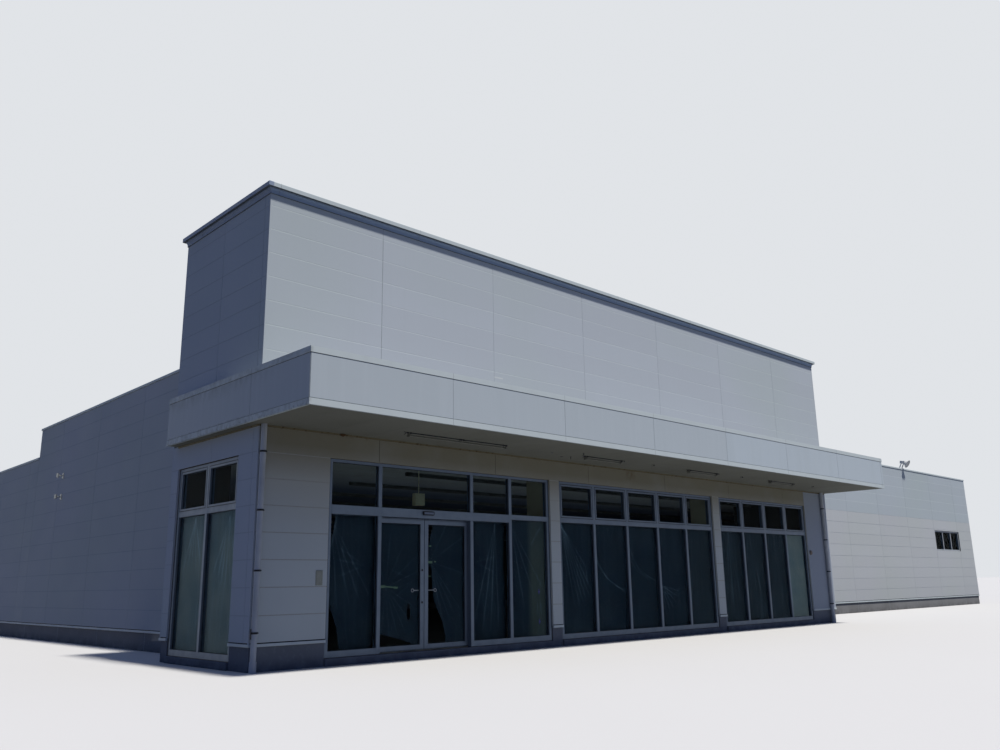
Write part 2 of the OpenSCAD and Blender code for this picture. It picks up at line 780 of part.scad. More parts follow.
// Brackets on the left wall, each with a short arm and an insulator
module service_brackets() {
  color("silver") for (z = bracket_z) translate([main_x0, bracket_y, z]) {
    block([-10, -30, -40], [0, 30, 40]);
    translate([-90, 0, 0]) rotate([0, 90, 0]) cylinder(d = 16, h = 80);
    translate([-80, 0, -30]) cylinder(d = 36, h = 60);
  }
}

// Frame of the door bay: posts, rails and the cross rail of the last pane.
// The header fills the gap between the lower and the upper panes.
module door_bay_frame() {
  color("lightsteelblue") difference() {
    block([bay_x0, frame_y0, floor_z], [bay_x1, frame_y1, head_z]);
    block([bay_x0 + post_w, frame_y0 - 1, header_z], [post_bc_x0, frame_y1 + 1, cross_top]);
    for (x = bay_lower) block([x[0], frame_y0 - 1, floor_z + sill_rail_h], [x[1], frame_y1 + 1, header_z + 1]);
    block([door_x0 + post_w / 2, frame_y0 - 1, floor_z - 1],
      [door_x1 - post_w / 2, frame_y1 + 1, header_z + 1]);
    block([post_bc_x0 + post_w, frame_y0 - 1, floor_z + sill_rail_h],
      [bay_x1 - post_w, frame_y1 + 1, cross_z]);
    for (x = bay_upper) block([x[0], frame_y0 - 1, cross_top - 1], [x[1], frame_y1 + 1, head_z - head_rail_h]);
    block([post_bc_x0 + post_w, frame_y0 - 1, cross_z + cross_h],
      [bay_x1 - post_w, frame_y1 + 1, head_z - head_rail_h]);
  }
}

// Header with the channel for the hangers, closed at both ends and slotted along its underside
module door_header() {
  color("lightsteelblue") difference() {
    block([bay_x0 + post_w, frame_y0, header_z], [post_bc_x0, header_y1, cross_top]);
    block([bay_x0 + post_w + track_end, leaf_mid_y - track_half, track_z0],
      [post_bc_x0 - track_end, leaf_mid_y + track_half, track_z1]);
    block([bay_x0 + post_w + track_end, leaf_mid_y - neck_t / 2 - track_gap, header_z - 1],
      [post_bc_x0 - track_end, leaf_mid_y + neck_t / 2 + track_gap, track_z0 + 1]);
  }
}

// Frames of the two window groups, the side window and the wing window
module window_frames() {
  color("lightsteelblue") {
    translate([mid_x0, frame_y0, 0]) grid_frame(mid_x1 - mid_x0, mid_cols);
    translate([right_x0, frame_y0, 0]) grid_frame(right_x1 - right_x0, right_cols);
    translate([entry_x0 + frame_y0, side_win_y1, 0]) rotate([0, 0, -90]) grid_frame(side_win_w, side_cols);
    translate([wing_win_x0, main_front + frame_in, wing_sill_z]) bar_frame(wing_cols);
  }
}

// Every fixed pane, set in the middle of its frame
module window_glass() {
  color("slategray", 0.5) {
    translate([0, glass_y, 0]) {
      for (x = bay_lower) block([x[0], 0, floor_z + sill_rail_h], [x[1], glass_t, header_z]);
      for (x = bay_upper) block([x[0], 0, cross_top], [x[1], glass_t, head_z - head_rail_h]);
      block([post_bc_x0 + post_w, 0, floor_z + sill_rail_h], [bay_x1 - post_w, glass_t, cross_z]);
      block([post_bc_x0 + post_w, 0, cross_z + cross_h], [bay_x1 - post_w, glass_t, head_z - head_rail_h]);
      translate([mid_x0, 0, 0]) grid_glass(mid_x1 - mid_x0, mid_cols);
      translate([right_x0, 0, 0]) grid_glass(right_x1 - right_x0, right_cols);
    }
    translate([entry_x0 + glass_y, side_win_y1, 0]) rotate([0, 0, -90]) grid_glass(side_win_w, side_cols);
    translate([wing_win_x0, main_front + glass_y, wing_sill_z]) bar_glass(wing_cols);
  }
}

// Motion sensor on the header above the sliding door, with rounded ends
module door_sensor() {
  color("dimgray") translate([0, frame_y0, header_z + sensor_up]) rotate([90, 0, 0])
    linear_extrude(sensor_d) hull() for (x = [sensor_round - sensor_w / 2, sensor_w / 2 - sensor_round])
      for (z = [sensor_round, sensor_h - sensor_round]) translate([x, z]) circle(r = sensor_round);
}

module left_door_leaf() {
  color("lightsteelblue") door_leaf();
}

module right_door_leaf() {
  color("lightsteelblue") mirror([1, 0, 0]) door_leaf();
}

module left_door_glass() {
  color("slategray", 0.5) door_glass();
}

module right_door_glass() {
  color("slategray", 0.5) mirror([1, 0, 0]) door_glass();
}

module ceiling() {
  color("gray") translate([0, 0, ceiling_z]) linear_extrude(ceiling_t) {
    translate([entry_x0 + wall_t, wall_t])
      square([entry_x1 - entry_x0 - 2 * wall_t, entry_d - 2 * wall_t - ceiling_joint]);
    polygon([
      [main_x0 + wall_t, entry_d - wall_t], [entry_x1, entry_d - wall_t],
      [entry_x1, main_front + wall_t], [main_x1 - wall_t, main_front + wall_t],
      [main_x1 - wall_t, rear_y - wall_t], [main_x0 + wall_t, rear_y - wall_t]]);
  }
}

// Rows of strip lights on the ceiling, parallel to the front
module ceiling_lights() {
  color("lightgray") for (i = [0 : light_rows - 1]) {
    y = light_row_y + i * light_row_pitch;
    x1 = i == 0 ? entry_x1 - first_row_end : main_x1 - other_row_end;
    block([row_light_x0, y - light_row_w / 2, ceiling_z - light_row_h], [x1, y + light_row_w / 2, ceiling_z]);
  }
}

// Boxed columns behind the two inner piers
module column_casings() {
  color("wheat") for (x = [[bay_x1, mid_x0], [mid_x1, right_x0]])
    block([x[0], wall_t, floor_z], [x[1], wall_t + casing_d, ceiling_z]);
}

// Blank box that hangs from the ceiling on a rod
module hanging_box() {
  color("wheat") translate([hang_x, hang_y, 0]) {
    translate([0, 0, hang_z + hang_size[2] / 2]) cube(hang_size, center = true);
    translate([0, 0, hang_z + hang_size[2]]) cylinder(d = hang_rod_d, h = ceiling_z - hang_z - hang_size[2]);
  }
}

// Plastic sheets that hang behind the fixed panes
module window_sheets() {
  color("midnightblue") {
    for (x = bay_lower) block([x[0], sheet_y, floor_z + sheet_lift], [x[1], sheet_y + sheet_t, header_z]);
    for (x = [[post_bc_x0, bay_x1], [mid_x0, mid_x1], [right_x0, right_x1]])
      block([x[0] + sheet_side, frame_y1, floor_z + sheet_lift],
        [x[1] - sheet_side, frame_y1 + sheet_t, cross_z + sheet_lap]);
    block([entry_x0 + frame_y1, side_win_y + sheet_side, floor_z + sheet_lift],
      [entry_x0 + frame_y1 + sheet_t, side_win_y1 - sheet_side, cross_z + sheet_lap]);
  }
}

module left_door_sheet() {
  color("midnightblue") door_sheet();
}

module right_door_sheet() {
  color("midnightblue") mirror([1, 0, 0]) door_sheet();
}

floor_slab();
entrance_sill();
entrance_plinth();
main_plinth_sides();
main_plinth_ends();
base_flashing();
front_piers();
side_piers();
tower_front_wall();
tower_side_walls();
return_wall();
tower_back_wall();
tower_roof();
tower_cornice();
canopy_soffit();
canopy_fascia();
canopy_roof();
canopy_trims();
side_walls_high();
side_walls_low();
back_wall();
step_wall();
wing_front_wall();
hall_roof();
hall_copings();
downpipes();
strip_lights();
floodlight();
service_brackets();
door_bay_frame();
door_header();
window_frames();
window_glass();
door_sensor();
left_door_leaf();
left_door_glass();
right_door_leaf();
right_door_glass();
ceiling();
ceiling_lights();
column_casings();
hanging_box();
window_sheets();
left_door_sheet();
right_door_sheet();
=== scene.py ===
"""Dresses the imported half-scale supermarket building with its finishes, siding, films and stage."""

import math
import random
from collections import namedtuple

import bpy
from mathutils import Matrix, Vector, noise


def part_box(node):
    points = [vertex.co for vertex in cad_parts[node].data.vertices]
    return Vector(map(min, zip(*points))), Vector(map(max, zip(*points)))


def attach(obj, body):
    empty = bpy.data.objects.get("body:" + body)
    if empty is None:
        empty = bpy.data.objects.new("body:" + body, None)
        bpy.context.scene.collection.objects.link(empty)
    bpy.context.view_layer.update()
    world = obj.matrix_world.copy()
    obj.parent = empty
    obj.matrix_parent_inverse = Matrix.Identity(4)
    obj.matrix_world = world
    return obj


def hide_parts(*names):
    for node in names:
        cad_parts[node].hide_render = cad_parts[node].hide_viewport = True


bl_info = {
    "name": "Supermarket building",
    "version": (1, 0, 0),
    "blender": (4, 5, 0),
    "location": "View3D > Sidebar > Building",
    "description": "Siding, canopy, shopfront, films, roof and stage of a half-scale supermarket",
    "category": "Object",
}

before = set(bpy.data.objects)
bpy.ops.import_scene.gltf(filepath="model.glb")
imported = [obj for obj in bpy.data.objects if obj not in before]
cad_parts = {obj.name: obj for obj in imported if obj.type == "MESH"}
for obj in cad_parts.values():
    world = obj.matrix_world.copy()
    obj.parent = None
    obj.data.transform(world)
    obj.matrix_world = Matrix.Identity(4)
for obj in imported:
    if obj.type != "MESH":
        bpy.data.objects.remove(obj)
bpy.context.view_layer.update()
FIXED = "structure"
MODEL_SCALE = 0.5


def real_mm(value):
    """Metres in the half-scale model for a length on the real building in millimetres."""
    return value * 0.001 * MODEL_SCALE


def hex_colour(text):
    """Linear red, green, blue and alpha of an sRGB hex value."""
    channels = [int(text[i : i + 2], 16) / 255 for i in (1, 3, 5)]
    linear = [c / 12.92 if c <= 0.04045 else ((c + 0.055) / 1.055) ** 2.4 for c in channels]
    return (*linear, 1.0)


# Geometry helpers

Solid = namedtuple("Solid", "low high")


def solids(node):
    """Boxes of the separate solids of a CAD node, sorted by their low corner."""
    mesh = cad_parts[node].data
    places = [tuple(round(c, 5) for c in v.co) for v in mesh.vertices]
    owner = {place: place for place in places}

    def root(place):
        while owner[place] != place:
            owner[place] = owner[owner[place]]
            place = owner[place]
        return place

    for polygon in mesh.polygons:
        first = root(places[polygon.vertices[0]])
        for index in polygon.vertices[1:]:
            owner[root(places[index])] = first
    groups = {}
    for place in owner:
        groups.setdefault(root(place), []).append(place)
    boxes = [
        Solid(Vector(map(min, zip(*group))), Vector(map(max, zip(*group))))
        for group in groups.values()
    ]
    return sorted(boxes, key=lambda box: tuple(round(c, 3) for c in box.low))


def placed(name, data):
    """New object of that name in the scene."""
    thing = bpy.data.objects.new(name, data)
    bpy.context.scene.collection.objects.link(thing)
    return thing


def circle(radius, sides):
    """Offsets from the middle of a round outline to its corners."""
    turns = [2 * math.pi * k / sides for k in range(sides)]
    return [(radius * math.cos(turn), radius * math.sin(turn)) for turn in turns]


class Form:
    """Corners and faces of one mesh. Every face has a material number and a tone from 0 to 1."""

    def __init__(self):
        self.corners = []
        self.faces = []
        self.finishes = []
        self.tones = []

    def face(self, indices, finish=0, tone=0.5):
        self.faces.append(tuple(indices))
        self.finishes.append(finish)
        self.tones.append(tone)

    def polygon(self, points, finish=0, tone=0.5):
        first = len(self.corners)
        self.corners.extend(points)
        self.face(range(first, first + len(points)), finish, tone)

    def loft(self, rings, finish=0, tone=0.5, caps=True):
        """Joins rings of equally many points with faces and closes both ends."""
        first = len(self.corners)
        count = len(rings[0])
        for ring in rings:
            self.corners.extend(ring)
        for level in range(len(rings) - 1):
            for i in range(count):
                a = first + level * count + i
                b = first + level * count + (i + 1) % count
                self.face((a, b, b + count, a + count), finish, tone)
        if caps:
            last = first + (len(rings) - 1) * count
            self.face([first + i for i in reversed(range(count))], finish, tone)
            self.face([last + i for i in range(count)], finish, tone)

    def block(self, low, high, finish=0, bevel=0.0):
        """Box between two corners, with its upright and level edges cut by bevel."""
        low = Vector(low)
        high = Vector(high)

        def ring(z, inset):
            x0, y0 = low.x + inset, low.y + inset
            x1, y1 = high.x - inset, high.y - inset
            if not bevel:
                return [(x0, y0, z), (x1, y0, z), (x1, y1, z), (x0, y1, z)]
            return [
                (x0 + bevel, y0, z), (x1 - bevel, y0, z), (x1, y0 + bevel, z), (x1, y1 - bevel, z),
                (x1 - bevel, y1, z), (x0 + bevel, y1, z), (x0, y1 - bevel, z), (x0, y0 + bevel, z),
            ]

        if not bevel:
            self.loft([ring(low.z, 0), ring(high.z, 0)], finish)
            return
        levels = [(low.z, bevel), (low.z + bevel, 0), (high.z - bevel, 0), (high.z, bevel)]
        self.loft([ring(z, inset) for z, inset in levels], finish)

    def tube(self, path, radius, sides=12, finish=0):
        """Round bar along a list of points."""
        points = [Vector(p) for p in path]
        rings = []
        for i, point in enumerate(points):
            ahead = points[min(i + 1, len(points) - 1)] - points[max(i - 1, 0)]
            across = ahead.orthogonal().normalized() if i == 0 else across
            across = (across - ahead.normalized() * across.dot(ahead.normalized())).normalized()
            other = ahead.normalized().cross(across)
            rings.append([
                point + radius * (math.cos(a) * across + math.sin(a) * other)
                for a in (2 * math.pi * k / sides for k in range(sides))
            ])
        self.loft(rings, finish)

    def piece(self, name, finishes, slot, body=FIXED, stands_for=(), smooth=None):
        """Makes the mesh object, which rides on a body. Finishes are named with blanks between."""
        mesh = bpy.data.meshes.new(name)
        mesh.from_pydata([tuple(c) for c in self.corners], [], self.faces)
        for finish in finishes.split():
            mesh.materials.append(material(finish))
        mesh.polygons.foreach_set("material_index", self.finishes)
        tone = mesh.attributes.new("tone", "FLOAT", "FACE")
        tone.data.foreach_set("value", self.tones)
        mesh.validate()
        if smooth is not None:
            mesh.shade_smooth()
            mesh.set_sharp_from_angle(angle=math.radians(smooth))
        piece = placed(name, mesh)
        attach(piece, body)
        if stands_for:
            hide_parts(*stands_for)
        return piece


def finish_nodes(finish, nodes, bevel=0.0):
    """Gives CAD nodes their finish, and breaks their edges where bevel is set."""
    for node in nodes.split():
        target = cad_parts[node]
        target.data.materials.clear()
        target.data.materials.append(material(finish))
        if bevel:
            weld = target.modifiers.new("weld", "WELD")
            weld.merge_threshold = 1e-5
            edges = target.modifiers.new("edges", "BEVEL")
            edges.width = bevel
            edges.segments = 1
            edges.limit_method = "ANGLE"
            edges.angle_limit = math.radians(35)


# Walls and the boards on them

WALL_PARTS = "facing plane start end foot head holes joint corner"
Wall = namedtuple("Wall", WALL_PARTS, defaults=(0, 0, 0, 0, (), None, 0.0))

# Material numbers of a boarded wall; the edge numbers paint light on the boards' sloping heads: a highlight
# in the sun, shade elsewhere
BOARD, JOINT, VENT_SHADE, LATE_BOARD, HIGHLIGHT_EDGE, SHADE_EDGE, FAINT_SHADE_EDGE = range(7)

# A front wall whose head is above this level stands in the sun
SUNLIT_HEAD = 2.5
# How far joint filler stands out of a wall
FILLER_LIFT = 0.00075
# How far the casing of the end pier reaches back along the right side
CASING_REACH = 0.35


def wall_point(wall, along, up, lift):
    """Point in front of a wall: along it, up it and lift in front of it."""
    if wall.facing == "front":
        return Vector((along, wall.plane - lift, up))
    if wall.facing == "back":
        return Vector((along, wall.plane + lift, up))
    if wall.facing == "left":
        return Vector((wall.plane - lift, along, up))
    if wall.facing == "right":
        return Vector((wall.plane + lift, along, up))
    return Vector((along, up, wall.plane - lift))


def outward(wall, points):
    """Turns the order of points so that their face looks away from the wall."""
    return points[::-1] if wall.facing in ("back", "left", "below") else points


def rectangle(wall, a0, a1, u0, u1, lift, head_lift=None):
    """Corners of a rectangle in front of a wall, which leans where its head has a lift of its own."""
    head_lift = lift if head_lift is None else head_lift
    corners = [(a0, u0, lift), (a1, u0, lift), (a1, u1, head_lift), (a0, u1, head_lift)]
    return outward(wall, [wall_point(wall, *corner) for corner in corners])


def face_of(box, inner=False):
    """Outer or inner face of a flat upright solid."""
    sideways = box.high.x - box.low.x < box.high.y - box.low.y
    near, far = (box.low.x, box.high.x) if sideways else (box.low.y, box.high.y)
    span = (box.low.y, box.high.y) if sideways else (box.low.x, box.high.x)
    facing = (("left", "right") if sideways else ("front", "back"))[inner]
    return Wall(facing, far if inner else near, *span, box.low.z, box.high.z)


def cut_around(area, hole):
    """Rectangles that are left of area, as (a0, a1, u0, u1), beside and over a hole."""
    a0, a1, u0, u1 = area
    h0, h1, v0, v1 = hole
    if h0 >= a1 or h1 <= a0 or v0 >= u1 or v1 <= u0:
        return [area]
    rest = [(a0, h0, u0, u1), (h1, a1, u0, u1)]
    middle = (max(a0, h0), min(a1, h1))
    rest += [(*middle, u0, v0), (*middle, v1, u1)]
    return [r for r in rest if r[1] - r[0] > 0.004 and r[3] - r[2] > 0.004]


def steps_between(start, end, first, pitch):
    """Start, end and every joint between them, where joints fall at first plus whole pitches."""
    number = math.ceil((start - first) / pitch + 1e-4)
    marks = [start]
    while first + number * pitch < end - 1e-4:
        marks.append(first + number * pitch)
        number += 1
    return marks + [end]


def raised_board(form, wall, area, lift, gap, chamfer, tone, slope=0.0, finish=BOARD, edge=BOARD,
                 joint_tone=0.5):
    """One board in front of a wall, with chamfered edges and a strip of joint filler behind them.

    With a slope, the head leans back behind the square foot of the board above it.
    """
    a0, a1, u0, u1 = area
    side = gap / 2
    seat = 0.0002 if slope else side

    def ring(inset, foot, head, foot_lift, head_lift):
        return rectangle(wall, a0 + inset, a1 - inset, u0 + foot, u1 - head, foot_lift, head_lift)

    back, front = 0.1 * lift, 0.25 * lift
    form.polygon(ring(0, 0, 0, front, front), JOINT, joint_tone)
    middle = ring(side, seat, seat, lift - chamfer / 2, (0.7 if slope else 0.6) * lift)
    form.loft([ring(side, seat, seat, back, back), middle], finish, tone, caps=False)
    crown = ring(side + chamfer, seat + chamfer / 2, seat + max(chamfer, slope), lift, lift)
    form.loft([middle, crown], finish, tone, caps=False)
    if slope:
        # The sloping head takes the edge finish, which is painted light: a highlight in the sun, shade
        # elsewhere
        form.finishes[-2 if outward(wall, [0, 1]) == [0, 1] else -4] = edge
    last = len(form.corners) - 4
    form.face(range(last, last + 4), finish, tone)


def board_wall(form, wall, settings, chance):
    """Covers a wall with rows of boards whose upright joints line up."""
    rows = steps_between(wall.foot, wall.head, settings.foot, settings.course)
    joint = wall.joint
    if joint is None:
        joint = settings.first_joint if wall.facing in ("front", "back") else settings.side_joint
    columns = steps_between(wall.start, wall.end, joint, settings.board)
    if wall.corner:
        columns = sorted([*columns, wall.start + wall.corner])
    late = wall.head - settings.late_courses * settings.course if wall.holes else wall.head
    sunlit = wall.facing == "front" and wall.head > SUNLIT_HEAD
    # Sunlit walls get a painted highlight on the boards' heads, the left side a faint painted shade, the
    # other walls a stronger painted shade
    edge = HIGHLIGHT_EDGE if sunlit else FAINT_SHADE_EDGE if wall.facing == "left" else SHADE_EDGE
    for u0, u1 in zip(rows, rows[1:]):
        lowest = abs(u0 - settings.foot) < 0.001
        if lowest:
            # A black strip fills the open slot below the lowest row: a dark vent profile, and painted shade
            # of the gap
            slot = rectangle(wall, wall.start, wall.end, u0, u0 + settings.vent, 0.3 * settings.lift)
            form.polygon(slot, VENT_SHADE)
        is_late = u0 > late - 0.01
        for a0, a1 in zip(columns, columns[1:]):
            if not wall.corner or abs(a0 - wall.start - wall.corner) > 1e-6:
                tone = chance.uniform(0.3, 0.7)
            areas = [(a0, a1, u0 + (settings.vent if lowest else 0), u1)]
            for hole in wall.holes:
                areas = [part for area in areas for part in cut_around(area, hole)]
            for area in areas:
                slope = 0.0 if wall.holes and not is_late else min(settings.slope, (area[3] - area[2]) / 3)
                raised_board(form, wall, area, settings.lift, settings.joint, real_mm(1.5), tone, slope,
                             LATE_BOARD if is_late else BOARD, edge, 0.8)
            if area[1] < wall.end - 0.001:
                # The joint nearest the left corner of the entrance block was filled anew, in a greener grey
                fresh = sunlit and a1 < 0 and u1 < wall.head - 0.001
                tone_here = 0.0 if fresh else chance.uniform(0.6, 1.0)
                filler_strip(form, wall, a1, settings.joint, area[2], u1, tone_here)


def filler_strip(form, wall, along, width, foot, head, tone):
    """Joint filler between two boards of a row."""
    points = rectangle(wall, along - width / 2, along + width / 2, foot, head, FILLER_LIFT)
    form.polygon(points, JOINT, tone)


def hall_walls():
    """Outer faces of the main block."""
    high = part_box("side_walls_high")
    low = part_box("side_walls_low")
    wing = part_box("wing_front_wall")
    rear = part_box("back_wall")
    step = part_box("step_wall")
    window = solids("window_frames")[-1]
    roof = solids("hall_roof")[1].high.z
    coping = solids("hall_copings")[1].high.z
    hole = (window.low.x, window.high.x, window.low.z, window.high.z)
    wing_joint = bpy.context.scene.market_siding.wing_joint
    return [
        Wall("front", wing[0].y, wing[0].x, wing[1].x, wing[0].z, wing[1].z, (hole,), wing_joint),
        Wall("left", high[0].x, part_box("tower_back_wall")[1].y, high[1].y, high[0].z, high[1].z),
        Wall("left", low[0].x, low[0].y, rear[1].y, low[0].z, low[1].z),
        Wall("right", high[1].x, wing[0].y, high[1].y, high[0].z, high[1].z),
        Wall("right", low[1].x, low[0].y, rear[1].y, low[0].z, low[1].z),
        Wall("back", rear[1].y, rear[0].x, rear[1].x, rear[0].z, rear[1].z),
        Wall("back", step[1].y, low[0].x, step[0].x, coping, step[1].z),
        Wall("back", step[1].y, step[0].x, step[1].x, roof, step[1].z),
        Wall("back", step[1].y, step[1].x, low[1].x, coping, step[1].z),
    ]


# Swept strips

def mitred(path, closed):
    """Plan points with the outward direction at each, stretched at the corners."""
    points = [Vector(p) for p in path]
    count = len(points)
    result = []
    for i, point in enumerate(points):
        before = points[i - 1] if i or closed else None
        after = points[(i + 1) % count] if i < count - 1 or closed else None
        sides = []
        for start, end in ((before, point), (point, after)):
            if start is not None and end is not None:
                run = (end - start).normalized()
                sides.append(Vector((run.y, -run.x)))
        bisector = (sides[0] + sides[-1]).normalized()
        result.append((point, bisector / bisector.dot(sides[0])))
    return result


def sweep(form, path, profile, closed=False):
    """Sweeps a closed outline of (out, up) pairs along a plan path with the outside on its right."""
    rings = [
        [(*(point + out * away), up) for out, up in profile] for point, away in mitred(path, closed)
    ]
    if closed:
        rings.append(rings[0])
    form.loft(rings, caps=not closed)


# Node helper and materials

def add_node(tree, kind, inputs=None, **settings):
    """Adds a node with its settings, and feeds its inputs with values or with other nodes' sockets."""
    node = tree.nodes.new(kind)
    for name, value in settings.items():
        setattr(node, name, value)
    for name, value in (inputs or {}).items():
        if isinstance(value, bpy.types.NodeSocket):
            tree.links.new(value, node.inputs[name])
        else:
            node.inputs[name].default_value = value
    return node


def new_material(name, roughness, metallic=0.0, ior=1.5):
    """Empty material with one shader, whose plain values sit on its own sockets."""
    material = bpy.data.materials.new(name)
    material.use_nodes = True
    tree = material.node_tree
    shader = tree.nodes["Principled BSDF"]
    shader.inputs["Roughness"].default_value = roughness
    shader.inputs["Metallic"].default_value = metallic
    shader.inputs["IOR"].default_value = ior
    return material, tree, shader


def patches(tree, size, low, high, strength=1.0, stretch=(1, 1, 1), detail=4.0):
    """Share from 0 to strength in patches about size metres across, drawn out where stretch is small."""
    spot = add_node(tree, "ShaderNodeTexCoord").outputs["Object"]
    spread = add_node(tree, "ShaderNodeMapping", {"Vector": spot, "Scale": stretch}).outputs["Vector"]
    cloud = add_node(tree, "ShaderNodeTexNoise", {"Vector": spread, "Scale": 1 / size, "Detail": detail})
    return add_node(tree, "ShaderNodeMapRange", {
        "Value": cloud.outputs["Fac"], "From Min": low, "From Max": high, "To Max": strength,
    }).outputs["Result"]


def between(tree, axis, start, end, strength=1.0):
    """Share that goes from 0 at start to strength at end along one axis of the building."""
    spot = add_node(tree, "ShaderNodeTexCoord").outputs["Object"]
    along = add_node(tree, "ShaderNodeSeparateXYZ", {"Vector": spot}).outputs[axis]
    return add_node(tree, "ShaderNodeMapRange", {
        "Value": along, "From Min": start, "From Max": end, "To Max": strength}).outputs["Result"]


def overlap(tree, *shares):
    """Product of several shares: where all of them are high."""
    result = shares[0]
    for share in shares[1:]:
        result = add_node(tree, "ShaderNodeMath", {0: result, 1: share}, operation="MULTIPLY").outputs[0]
    return result


def paint(tree, shader, base, *layers):
    """Lays colours over a base colour and into the shader. A layer is a share and a colour."""
    colour = base
    for share, tint in layers:
        mix = add_node(tree, "ShaderNodeMix", {0: share, 6: colour, 7: tint}, data_type="RGBA")
        colour = mix.outputs[2]
    tree.links.new(colour, shader.inputs["Base Color"])


def grain(tree, shader, size, depth, strength=0.4, stretch=(1, 1, 1), detail=3.0):
    """Presses a pattern of grains of that size and depth in metres into the surface."""
    height = patches(tree, size, 0.2, 0.8, 1.0, stretch, detail)
    relief = add_node(tree, "ShaderNodeBump", {"Height": height, "Distance": depth, "Strength": strength})
    tree.links.new(relief.outputs["Normal"], shader.inputs["Normal"])


def tinted(colour, factors):
    """The same colour with its red, green and blue made stronger or weaker."""
    return (*(min(1.0, c * factor) for c, factor in zip(colour, factors)), 1.0)


def shade(colour, factor):
    """The same colour made darker or lighter."""
    return tinted(colour, (factor, factor, factor))


def fibre_cement(name, colour, touches=()):
    """Pressed fibre-cement board under matt acrylic paint: flat and clean, each board a hair off the next.

    The paint has weathered unevenly, so wide soft fields lean to green, and rain leaves faint streaks.
    The touches are small places that were painted again, as x0, x1, z0, z1.
    """
    material, tree, shader = new_material(name, 0.7, ior=1.05)
    tone = add_node(tree, "ShaderNodeAttribute", attribute_name="tone").outputs["Fac"]
    layers = [
        (patches(tree, real_mm(4200), 0.4, 0.65, 0.6, detail=1.0), tinted(colour, (0.96, 0.99, 0.94))),
        (patches(tree, real_mm(120), 0.52, 0.85, 0.12, (1, 1, 0.03)), shade(colour, 0.86)),
    ]
    for x0, x1, z0, z1 in touches:
        spot = overlap(tree, between(tree, "X", x0 - 0.002, x0), between(tree, "X", x1 + 0.002, x1),
                       between(tree, "Z", z0 - 0.002, z0), between(tree, "Z", z1 + 0.002, z1))
        layers.append((spot, tinted(colour, (1.2, 1.17, 1.1))))
    paint(tree, shader, tinted(colour, (0.96, 0.95, 0.97)), (tone, tinted(colour, (1.04, 1.04, 1.06))),
          *layers)
    tree.links.new(patches(tree, real_mm(900), -0.9, 1.4, 0.9), shader.inputs["Roughness"])
    grain(tree, shader, real_mm(7), real_mm(0.4), 0.25)
    return material


def sheltered_fibre_cement(colour):
    """The same boards under the canopy, darker and browner toward the soffit: partly dust that rain never
    washes off, partly painted shade under the canopy.

    Rusty water marks hang under the soffit, and one large stain sits above the middle windows.
    """
    material, tree, shader = new_material("sheltered_fibre_cement", 0.66, ior=1.12)
    tone = add_node(tree, "ShaderNodeAttribute", attribute_name="tone").outputs["Fac"]
    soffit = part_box("canopy_soffit")[0].z
    drips = overlap(tree, between(tree, "Z", soffit - 0.035, soffit - 0.01),
                    patches(tree, real_mm(130), 0.58, 0.68, 0.6, (1, 1, 0.5), 5.0))
    spot = overlap(tree, between(tree, "X", 3.12, 3.2), between(tree, "X", 3.34, 3.26),
                   between(tree, "Z", 1.9, 1.95), patches(tree, real_mm(120), 0.35, 0.65, 0.8))
    paint(tree, shader, shade(colour, 0.96), (tone, shade(colour, 1.04)),
          # Darker and browner toward the soffit: dust, and painted shade under the canopy
          (between(tree, "Z", 1.1, 1.75, 0.6), hex_colour("#96948A")),
          (between(tree, "Z", 1.6, 1.9, 0.85), hex_colour("#757261")),
          (patches(tree, real_mm(900), 0.45, 0.75, 0.2), shade(colour, 0.82)),
          (drips, hex_colour("#5A4A34")), (spot, hex_colour("#625440")))
    grain(tree, shader, real_mm(7), real_mm(0.4), 0.25)
    return material


def coated_steel(name, colour, roughness=0.42, grimy=False, cornice=False):
    """Folded steel sheet with a baked polyester coat: even, with a soft sheen and slight waves.

    Grime stands on the trims of the canopy's left side, where little rain runs.
    The moulding of the cornice under its cap, and the cornice's whole left side, are painted darker and
    bluer: painted shade.
    """
    material, tree, shader = new_material(name, roughness, ior=1.2)
    layers = [(patches(tree, real_mm(260), 0.45, 0.75, 0.5, (1, 1, 0.15)), shade(colour, 0.92)),
              (patches(tree, real_mm(2400), 0.4, 0.7, 0.5), shade(colour, 1.06))]
    if grimy:
        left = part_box("canopy_trims")[0].x
        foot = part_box("canopy_fascia")[0].z
        side = between(tree, "X", left + 0.03, left + 0.01)
        spread = overlap(tree, side, patches(tree, real_mm(120), 0.4, 0.7, 0.4, detail=6.0))
        layers.append((spread, hex_colour("#6A6E6C")))
        rim = overlap(tree, side, between(tree, "Z", foot - 0.02, foot - 0.035),
                      patches(tree, real_mm(60), 0.5, 0.7, 0.35, detail=6.0))
        layers.append((rim, hex_colour("#4A4D49")))
    if cornice:
        low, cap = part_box("tower_cornice")[0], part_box("tower_front_wall")[1].z
        # Painted shade: darker, bluer moulding under the cap and a darker, bluer left side
        moulding = overlap(tree, between(tree, "Z", low.z - 0.002, low.z),
                           between(tree, "Z", cap, cap - 0.003))
        layers.append((moulding, tinted(colour, (0.52, 0.61, 0.82))))
        left_side = between(tree, "X", low.x + 0.055, low.x + 0.045, 0.95)
        layers.append((left_side, tinted(colour, (0.5, 0.55, 0.72))))
    paint(tree, shader, colour, *layers)
    tree.links.new(patches(tree, real_mm(300), -0.8, 1.6, 1.0), shader.inputs["Roughness"])
    grain(tree, shader, real_mm(600), real_mm(3), 0.2, detail=1.0)
    return material


